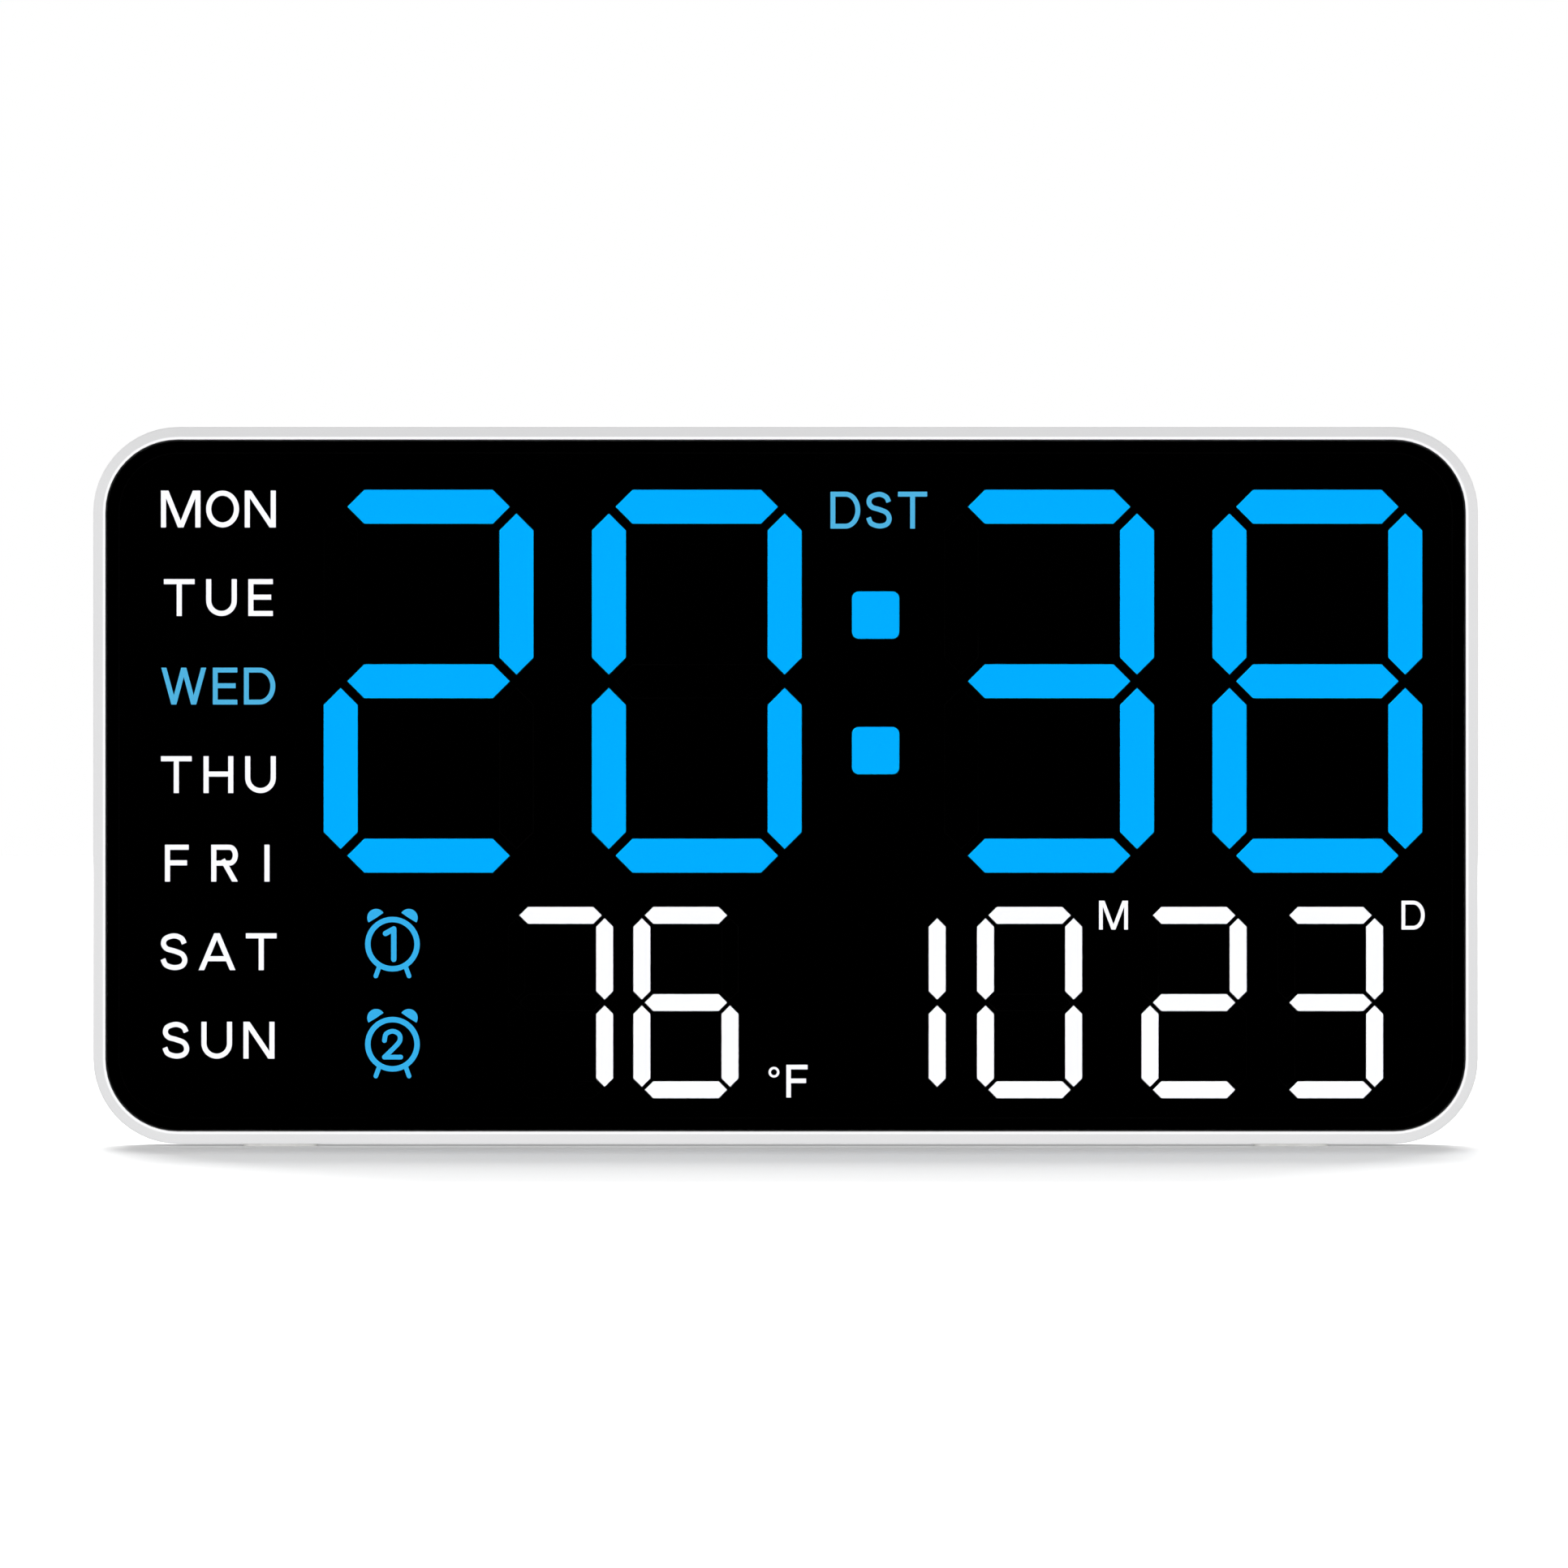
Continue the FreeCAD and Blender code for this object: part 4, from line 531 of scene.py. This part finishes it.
# Real traces are 0.25 mm wide at a 0.5 mm pitch. They are drawn 0.5 mm wide at a 3 mm pitch, to show.
# They are the joints of a brick pattern, whose sizes are shares of the layout.
layout, run, pitch = 12 * MM, 19.2 * MM, 3 * MM
traces = add(tree, "ShaderNodeTexBrick", {"Vector": flat_lay, "Scale": 1 / layout, "Mortar Size": 0.02,
                                          "Mortar Smooth": 0.3, "Brick Width": run / layout,
                                          "Row Height": pitch / layout})
weave = mottle(tree, point, 0.8 * MM, 0.0, 0.35)
track = add(tree, "ShaderNodeMath", {"Value": traces.outputs["Fac"], "Value_001": weave}, operation="MAXIMUM")
close_material(tree, (track, "#0B4A2B", "#2A7A4E"), Roughness=0.28, IOR=1.5,
               Normal=add(tree, "ShaderNodeBump", {"Height": traces.outputs["Fac"], "Distance": 0.04 * MM}))
dress(solder_mask, "display_board")

# Each LED is a white package filled with yellow phosphor, which shows as a warm cream with a glassy top.
led_package = moulded("led_package", "#F2E7BE", "#EBD894", roughness=0.22, grain=0.6 * MM, relief=0.02 * MM,
                      IOR=1.5)
dress(led_package, "time_leds", "calendar_leds")
# Filled epoxy: dark grey rather than black, with the dull grain that transfer moulding leaves.
chip_epoxy = moulded("chip_black", "#242426", "#303032", roughness=0.6, grain=0.15 * MM, relief=0.01 * MM,
                     IOR=1.55)
dress(chip_epoxy, "controller_chip", "led_driver_chips")
# The buzzer, sensor, switches and tongue of the port are injection moulded in black nylon with a dull sheen.
black_nylon = moulded("switch_black", "#1B1B1C", "#262627", roughness=0.5, grain=0.2 * MM, relief=0.01 * MM,
                      IOR=1.53)
dress(black_nylon, "buzzer", "temperature_sensor", "key_switches", "key_plungers", "usb_c_tongue")


def plated(name, colour, stain, roughness, grain, stretch=(1, 1, 1)):
    """Bright metal plate: the grain of the metal under it, stretched where it was drawn, and dull patches."""
    spread, patch_size, staining = 0.07, 4 * MM, 0.8
    made, tree, point = start_material(name)
    drawn = add(tree, "ShaderNodeMapping", {"Vector": point, "Scale": stretch})
    lines = mottle(tree, drawn, grain, 0.0, 1.0, detail=3.0)
    rough = add(tree, "ShaderNodeMapRange", {"Value": lines, "To Min": roughness - spread,
                                             "To Max": roughness + spread})
    dull = mottle(tree, point, patch_size, 0.0, staining)
    close_material(tree, (dull, colour, stain), Metallic=1.0, Roughness=rough,
                   Normal=add(tree, "ShaderNodeBump", {"Height": lines, "Distance": 0.006 * MM,
                                                       "Strength": 0.5}))
    return made


# The crystal's can and the capacitor's sleeve are drawn aluminium, with faint lines round them.
drawn_aluminium = plated("bright_can", "#DADADC", "#C6C6C9", roughness=0.25, grain=0.5 * MM,
                         stretch=(1, 6, 1))
dress(drawn_aluminium, "clock_crystal", "smoothing_capacitor")
# The shell of the port is stamped steel with bright nickel plate.
port_nickel = plated("port_shell_nickel", "#CFCDC8", "#BDBAB2", roughness=0.24, grain=0.6 * MM,
                     stretch=(0.2, 1, 1))
dress(port_nickel, "usb_c_shell")


# ---- Screws ----------------------------------------------------------------------------------------------
# Zinc-plated pan head screws hold the board to its posts and the rear cover to the housing. The seven in the
# cover are seen from the back: each has a domed head with a cross recess, sunk in a round well.

# Zinc plate gives the heads a bluish grey shine with a fine grain.
zinc = plated("screw_steel", "#C4C6C8", "#AEB0B3", roughness=0.3, grain=0.35 * MM)
dress(zinc, "board_screws")

head_radius, head_height, dome_height = 2.7 * MM, 2.0 * MM, 0.9 * MM
shank_radius, shank_length, thread_pitch, thread_depth = 1.45 * MM, 10.0 * MM, 1.0 * MM, 0.28 * MM
recess_width, recess_slot, recess_depth = 2.9 * MM, 0.55 * MM, 1.2 * MM
corner_x, middle_x, low_x, top_z, low_z = 117.025, 16.9, 61.0, 127.74, 7.7
screw_places = [(-corner_x, top_z), (middle_x, top_z), (corner_x, top_z),
                (-corner_x, low_z), (-low_x, low_z), (low_x, low_z), (corner_x, low_z)]
seat_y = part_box("cover_screws")[1].y - head_height


def screw_half_section():
    """The outline of a pan head screw from the middle of its head to its point, as radius and height."""
    rim_top, rim_round = 0.3 * MM, 0.25 * MM
    thread_start, point_length, point_radius = 0.4 * MM, 1.2 * MM, 0.5 * MM
    dome_foot, core, tip = head_height - dome_height, shank_radius - thread_depth, 0.02 * MM - shank_length
    dome = [(head_radius * math.sin(a), dome_foot + dome_height * math.cos(a))
            for a in [math.radians(15 * i) for i in range(7)]]
    outline = dome + [(head_radius, rim_top), (head_radius - rim_round, 0), (shank_radius, 0)]
    for turn in range(int((shank_length - thread_start - point_length) / thread_pitch)):
        # Each ridge rises from the core to its crest and falls back, within its share of the pitch.
        top = -thread_start - turn * thread_pitch
        outline += [(core, top - 0.35 * thread_pitch), (shank_radius, top - 0.55 * thread_pitch),
                    (core, top - 0.8 * thread_pitch)]
    return outline + [(core, point_length - shank_length), (point_radius, tip), (0, tip)]


# The outline is spun into a screw, and two crossed bars cut its recess. The bars are twice as high as the
# recess is deep, and stand half out of the head.
screw_tree, given = start_tree("cover_screw", Wing="Float", Slot="Float", Depth="Float", Height="Float",
                               Material="Material", Outline="Object")
drawn = add(screw_tree, "GeometryNodeObjectInfo", {"Object": given["Outline"]}).outputs["Geometry"]
half = add(screw_tree, "GeometryNodeMeshToCurve", {"Mesh": drawn})
spindle = add(screw_tree, "GeometryNodeCurvePrimitiveCircle", {"Resolution": 40, "Radius": 0.001 * MM})
turned = add(screw_tree, "GeometryNodeCurveToMesh", {"Curve": spindle, "Profile Curve": half})
blank = add(screw_tree, "GeometryNodeMergeByDistance", {"Geometry": turned, "Distance": 0.002 * MM})
lift = add(screw_tree, "ShaderNodeCombineXYZ", {"Z": given["Height"]})
bars = []
for x, y in (("Wing", "Slot"), ("Slot", "Wing")):
    size = add(screw_tree, "ShaderNodeCombineXYZ", {"X": given[x], "Y": given[y], "Z": given["Depth"]})
    bar = add(screw_tree, "GeometryNodeMeshCube", {"Size": size}).outputs["Mesh"]
    bars.append(add(screw_tree, "GeometryNodeTransform", {"Geometry": bar, "Translation": lift}))
screw = add(screw_tree, "GeometryNodeMeshBoolean", {"Mesh 1": blank, "Mesh 2": bars}, operation="DIFFERENCE",
            solver="EXACT").outputs["Mesh"]
# Each screw stands on its seat with its head to the back, turned to wherever it was tight.
turn = add(screw_tree, "FunctionNodeRandomValue", {"Max_001": math.radians(90), "Seed": 7}, data_type="FLOAT")
stance = add(screw_tree, "ShaderNodeCombineXYZ", {"X": math.radians(-90), "Y": turn})
placed = add(screw_tree, "GeometryNodeInstanceOnPoints", {"Points": given["Geometry"], "Instance": screw,
                                                          "Rotation": stance})
end_tree(screw_tree, placed, given["Material"])

outline_mesh = bpy.data.meshes.new("screw_outline")
outline_points = [(radius, -height, 0) for radius, height in screw_half_section()]
outline_mesh.from_pydata(outline_points, [(i, i + 1) for i in range(len(outline_points) - 1)], [])
outline = bpy.data.objects.new("screw_outline", outline_mesh)
seat_mesh = bpy.data.meshes.new("screw_seats")
seat_mesh.from_pydata([(x * MM, seat_y, z * MM) for x, z in screw_places], [], [])
cover_screw_set = grow("cover_screw_set", seat_mesh, screw_tree, "case", "screw_steel", Wing=recess_width,
                       Slot=recess_slot, Depth=2 * recess_depth, Height=head_height, Material=zinc,
                       Outline=outline)
bpy.data.objects.remove(outline)
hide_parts("cover_screws")


# ---- Feet ------------------------------------------------------------------------------------------------
# Four pads of light grey silicone rubber are stuck under the case, and one under the stand. They are die cut,
# so their faces are matte and their edges sharp.

rubber, tree, point = start_material("foot_rubber")
dust = mottle(tree, point, 2 * MM, 0.0, 1.0)
grit = mottle(tree, point, 0.3 * MM, 0.0, 1.0)
close_material(tree, (dust, "#C9C9C7", "#BDBDBA"), Roughness=0.8, IOR=1.41,
               Normal=add(tree, "ShaderNodeBump", {"Height": grit, "Distance": 0.03 * MM, "Strength": 0.6}))
dress(rubber, "foot_pads", "stand_foot_pad")


# ---- Stand, battery door and battery ---------------------------------------------------------------------
# The folding stand and the coin-slot door are moulded in the same white ABS as the case, in tools of their
# own, so their white is a hair warmer. Steel pins carry the stand. The door closes on a coin cell between
# nickel-plated strips, and two leads run from these to the board.

stand_abs = moulded("stand_white_abs", "#EEEEED", "#E6E6E5", roughness=0.4, grain=0.3 * MM, relief=0.008 * MM,
                    rubbed_edge=0.25 * MM, IOR=1.53)
dress(stand_abs, "stand", "battery_door")
# The pins are cut from drawn wire, so their grain runs along them.
drawn_steel = plated("pin_steel", "#BFC0C2", "#A9AAAD", roughness=0.22, grain=0.5 * MM, stretch=(0.2, 1, 1))
dress(drawn_steel, "stand_hinge_pins")

# The cell's can is spun, which leaves fine rings round its middle.
cell_low, cell_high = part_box("coin_cell")
cell_middle = (cell_low + cell_high) / 2
spun, tree, point = start_material("cell_steel")
centred = add(tree, "ShaderNodeMapping", {"Vector": point, "Location": (-cell_middle.x, 0, -cell_middle.z),
                                          "Scale": (1, 0, 1)})
radius = add(tree, "ShaderNodeVectorMath", {"Vector": centred}, operation="LENGTH").outputs["Value"]
rings = mottle(tree, add(tree, "ShaderNodeCombineXYZ", {"X": radius}), 0.35 * MM, 0.0, 1.0, detail=3.0)
close_material(tree, (rings, "#D6D5D2", "#C2C1BD"), Metallic=1.0,
               Roughness=mottle(tree, point, 3 * MM, 0.18, 0.32),
               Normal=add(tree, "ShaderNodeBump", {"Height": rings, "Distance": 0.008 * MM, "Strength": 0.6}))
dress(spun, "coin_cell")
# Nickel-plated spring steel strip, slightly yellow, with the straight lines of rolling.
rolled_nickel = plated("contact_nickel", "#CFC8B6", "#BDB49E", roughness=0.28, grain=0.4 * MM,
                       stretch=(1, 0.2, 1))
dress(rolled_nickel, "battery_contacts")

# The two leads have soft PVC over fine wire: red above, from the positive contact, and black below.
lead_pvc, tree, point = start_material("lead_pvc")
leads_part_at = 56.375 * MM
height = add(tree, "ShaderNodeSeparateXYZ", {"Vector": point}).outputs["Z"]
is_red = add(tree, "ShaderNodeMath", {"Value": height, "Value_001": leads_part_at}, operation="GREATER_THAN")
close_material(tree, (is_red, "#17171A", "#A81418"), Roughness=mottle(tree, point, 1.5 * MM, 0.3, 0.45),
               IOR=1.53)
dress(lead_pvc, "battery_leads")
# Natural nylon: an ivory white with a waxy sheen.
nylon = moulded("socket_nylon", "#EFE9DA", "#E6DEC9", roughness=0.4, grain=0.4 * MM, relief=0.01 * MM,
                IOR=1.53)
dress(nylon, "battery_socket")


# ---- Keys ------------------------------------------------------------------------------------------------
# Five round caps in a row at the back, each moulded with its stem in a white ABS that is a shade cooler and
# glossier than the case, because fingers polish it.

key_abs = moulded("key_white_abs", "#E4E6E6", "#DADCDD", roughness=0.33, grain=0.3 * MM, relief=0.006 * MM,
                  rubbed_edge=0.2 * MM, IOR=1.53)
dress(key_abs, "mode_key", "alarm_key", "down_key", "up_key", "light_key")

# Each cap is pad printed with the sign of what it does, in matte grey ink with the faint speckle of the pad.
pad_ink = moulded("pad_print_grey", "#3C3F42", "#4A4D50", roughness=0.7, grain=0.2 * MM, relief=0.004 * MM,
                  IOR=1.5)
cap_radius, pad_ink_thickness, key_sign_room = 4.75 * MM, 0.04 * MM, 6 * MM
key_stroke, key_ray = 0.38 * MM, 0.3 * MM


def key_lines(*lines, width=key_stroke):
    """Straight strokes with round ends, from points in millimetres."""
    return [([(x * MM, y * MM) for x, y in line], width, True) for line in lines]


def key_arc(radius, start, sweep, width=key_stroke):
    """An arc round the middle of a cap, with its radius in millimetres."""
    return [(arc(0, 0, radius * MM, radius * MM, start, sweep), width, sweep < 360)]


# Three bars mark the mode key, a clock that rings the alarm key, arrows the next two and a sun the light key.
ray_ends = (1.3, 1.85)
rays = [[(reach * math.cos(turn), reach * math.sin(turn)) for reach in ray_ends]
        for turn in [math.radians(45 * i) for i in range(8)]]
KEY_SIGNS = {
    "mode_key": key_lines([(-1.4, 1.05), (1.4, 1.05)], [(-1.4, 0), (1.4, 0)], [(-1.4, -1.05), (1.4, -1.05)]),
    "alarm_key": key_arc(1.3, 0, 360) + key_lines([(0, 0.65), (0, 0)], [(0, 0), (-0.45, -0.2)], width=key_ray)
    + key_arc(1.95, 30, 30) + key_arc(1.95, 120, 30),
    "down_key": key_lines([(-1.3, 0.6), (0, -0.7)], [(0, -0.7), (1.3, 0.6)]),
    "up_key": key_lines([(-1.3, -0.6), (0, 0.7)], [(0, 0.7), (1.3, -0.6)]),
    "light_key": key_arc(0.75, 0, 360) + key_lines(*rays, width=key_ray),
}
for key, strokes in KEY_SIGNS.items():
    low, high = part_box(key)
    print_sign(key + "_sign", strokes, (low.x + high.x) / 2, high.z - cap_radius, key_sign_room,
               key_sign_room, pad_ink, "black_mask_film", front=high.y, back=high.y + pad_ink_thickness,
               body=key)


# ---- Studio ----------------------------------------------------------------------------------------------
# A plain white table and a white room. The light is soft: most comes from the front, some from all round, and
# two weak lamps behind light the back. A tall narrow window far behind and some lamps light the table alone,
# so the clock's shade falls forward. The room is dark where the lens would mirror it.

# The table lies a hair under the pads. The room's light already has what a pale table throws up, so the table
# is left out of all reflected light.
floor_mesh = bpy.data.meshes.new("studio_floor")
reach, floor_z = 12.0, -0.05 * MM
floor_mesh.from_pydata([(-reach, -reach, floor_z), (reach, -reach, floor_z), (reach, reach, floor_z),
                        (-reach, reach, floor_z)], [], [(0, 1, 2, 3)])
floor = bpy.data.objects.new("studio_floor", floor_mesh)
scene.collection.objects.link(floor)
paper, tree, point = start_material("studio_paper")
cloudy = mottle(tree, point, 500 * MM, 0.0, 1.0)
close_material(tree, (cloudy, "#FAFAFA", "#F8F8F8"), Roughness=0.9, Specular_IOR_Level=0.1)
floor_mesh.materials.append(paper)
floor.visible_glossy = floor.visible_transmission = floor.visible_diffuse = False

world = bpy.data.worlds.new("studio_room")
scene.world = world
world.use_nodes = True
tree = world.node_tree
tree.nodes.clear()
ray = add(tree, "ShaderNodeLightPath").outputs
looking = add(tree, "ShaderNodeTexCoord").outputs["Generated"]
direction = add(tree, "ShaderNodeSeparateXYZ", {"Vector": looking}).outputs
all_round, from_front, front_spread, from_below = 0.47, 0.95, 4.0, 0.1
towards_front = add(tree, "ShaderNodeMath", {"Value": direction["Y"], "Value_001": -1.0},
                    operation="MULTIPLY")
front_only = add(tree, "ShaderNodeMath", {"Value": towards_front, "Value_001": 0.0}, operation="MAXIMUM")
narrowed = add(tree, "ShaderNodeMath", {"Value": front_only, "Value_001": front_spread}, operation="POWER")
even = add(tree, "ShaderNodeMath", {"Value": narrowed, "Value_001": from_front, "Value_002": all_round},
           operation="MULTIPLY_ADD")
# The pale table throws some light up, so the room is a little brighter from below than from above.
soft = add(tree, "ShaderNodeMath", {"Value": direction["Z"], "Value_001": -from_below, "Value_002": even},
           operation="MULTIPLY_ADD")
# In the mirror of the lens the room is dark within 25 degrees of straight ahead, and dim outside it.
# The metal parts at the back mirror a brighter half of the room.
dim, bright = 0.22, 0.85
in_lens = add(tree, "ShaderNodeMapRange", {"Value": towards_front, "From Min": 0.9, "From Max": 0.3,
                                           "To Max": dim}, interpolation_type="SMOOTHSTEP")
behind = add(tree, "ShaderNodeMapRange", {"Value": towards_front, "From Min": -0.1, "From Max": -0.7,
                                          "To Max": bright}, interpolation_type="SMOOTHSTEP")
mirrored = add(tree, "ShaderNodeMath", {"Value": in_lens, "Value_001": behind}, operation="ADD")
by_mirror = add(tree, "ShaderNodeMath", {"Value": ray["Is Glossy Ray"],
                                         "Value_001": ray["Is Transmission Ray"]}, operation="MAXIMUM")
lighting = add(tree, "ShaderNodeMix", {"Factor_Float": by_mirror, "A_Float": soft, "B_Float": mirrored},
               data_type="FLOAT")
# The camera sees the room as plain white.
level = add(tree, "ShaderNodeMix", {"Factor_Float": ray["Is Camera Ray"], "A_Float": lighting,
                                    "B_Float": 1.0}, data_type="FLOAT")
add(tree, "ShaderNodeOutputWorld", {"Surface": add(tree, "ShaderNodeBackground", {
    "Color": linear("#FFFFFF"), "Strength": level})})


def receivers(name, link_state):
    """A collection that a lamp lights: the floor alone, or all but the floor."""
    linked = bpy.data.collections.new(name)
    linked.objects.link(floor)
    linked.collection_objects[0].light_linking.link_state = link_state
    return linked


floor_alone = receivers("floor_alone", "INCLUDE")
all_but_floor = receivers("all_but_floor", "EXCLUDE")


def lamp(name, kind, power, place, aim, lights=None, mirrored=False, **settings):
    """A lamp at a place in metres that points at another.

    It lights everything, or what its collection says. Polished pieces mirror it only where that is asked for.
    """
    data = bpy.data.lights.new(name, kind)
    data.energy = power
    for setting, value in settings.items():
        setattr(data, setting, value)
    made = bpy.data.objects.new(name, data)
    made.location = place
    made.rotation_euler = (Vector(aim) - Vector(place)).to_track_quat("-Z", "Y").to_euler()
    made.visible_camera = False
    made.visible_glossy = made.visible_transmission = mirrored
    scene.collection.objects.link(made)
    if lights:
        made.light_linking.receiver_collection = lights


housing_low, housing_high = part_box("front_housing")
clock_middle = (0.0, 0.0, (housing_low.z + housing_high.z) / 2)
lamp("table_window", "AREA", 820.0, (-0.3, 8.4, 5.45), clock_middle, floor_alone, shape="RECTANGLE", size=2.2,
     size_y=6.1)
# Two steep lamps lighten the shade near the clock, and two low ones trim its sides. Each has its power, the
# direction that it shines from, and how wide it looks in degrees.
TABLE_LAMPS = {
    "overhead": (0.55, (0.0, 0.0, 1.0), 12),
    "steep": (0.32, (0.0, 0.4, 1.0), 14),
    "left": (3.6, (-0.15, 1.0, 0.38), 13),
    "right": (3.6, (0.11, 1.0, 0.38), 13),
}
for side, (power, place, width) in TABLE_LAMPS.items():
    lamp("table_lamp_" + side, "SUN", power, place, (0.0, 0.0, 0.0), floor_alone, angle=math.radians(width))
lamp("back_left_lamp", "SUN", 1.0, (-1.0, 1.3, 0.55), clock_middle, all_but_floor, angle=math.radians(20))
lamp("back_right_lamp", "SUN", 0.8, (1.0, 1.3, 0.5), clock_middle, all_but_floor, angle=math.radians(20))
lamp("front_strip", "AREA", 18.0, (0.0, -2.0, 0.06), clock_middle, shape="RECTANGLE", size=0.8, size_y=0.1)
lamp("left_box", "AREA", 0.6, (-1.3, -0.9, 0.5), clock_middle, mirrored=True, shape="RECTANGLE", size=0.5,
     size_y=0.9)
lamp("right_box", "AREA", 0.5, (1.4, -0.8, 0.5), clock_middle, mirrored=True, shape="RECTANGLE", size=0.4,
     size_y=0.9)

# The camera looks straight at the lens from 3 m away, and seen_width is how much of its plane it takes in.
camera_distance, camera_x, camera_z, seen_width, sensor = 3.0, -0.3 * MM, 68.0 * MM, 294.2 * MM, 36.0
lens_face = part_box("front_lens")[0].y
camera_data = bpy.data.cameras.new("camera")
camera_data.sensor_width = sensor
camera_data.lens = sensor * camera_distance / seen_width
camera_data.clip_start, camera_data.clip_end = 0.1, 50.0
camera = bpy.data.objects.new("camera", camera_data)
camera.location = (camera_x, lens_face - camera_distance, camera_z)
camera.rotation_euler = (math.radians(90), 0, 0)
scene.collection.objects.link(camera)
scene.camera = camera
scene.view_settings.view_transform = "Standard"
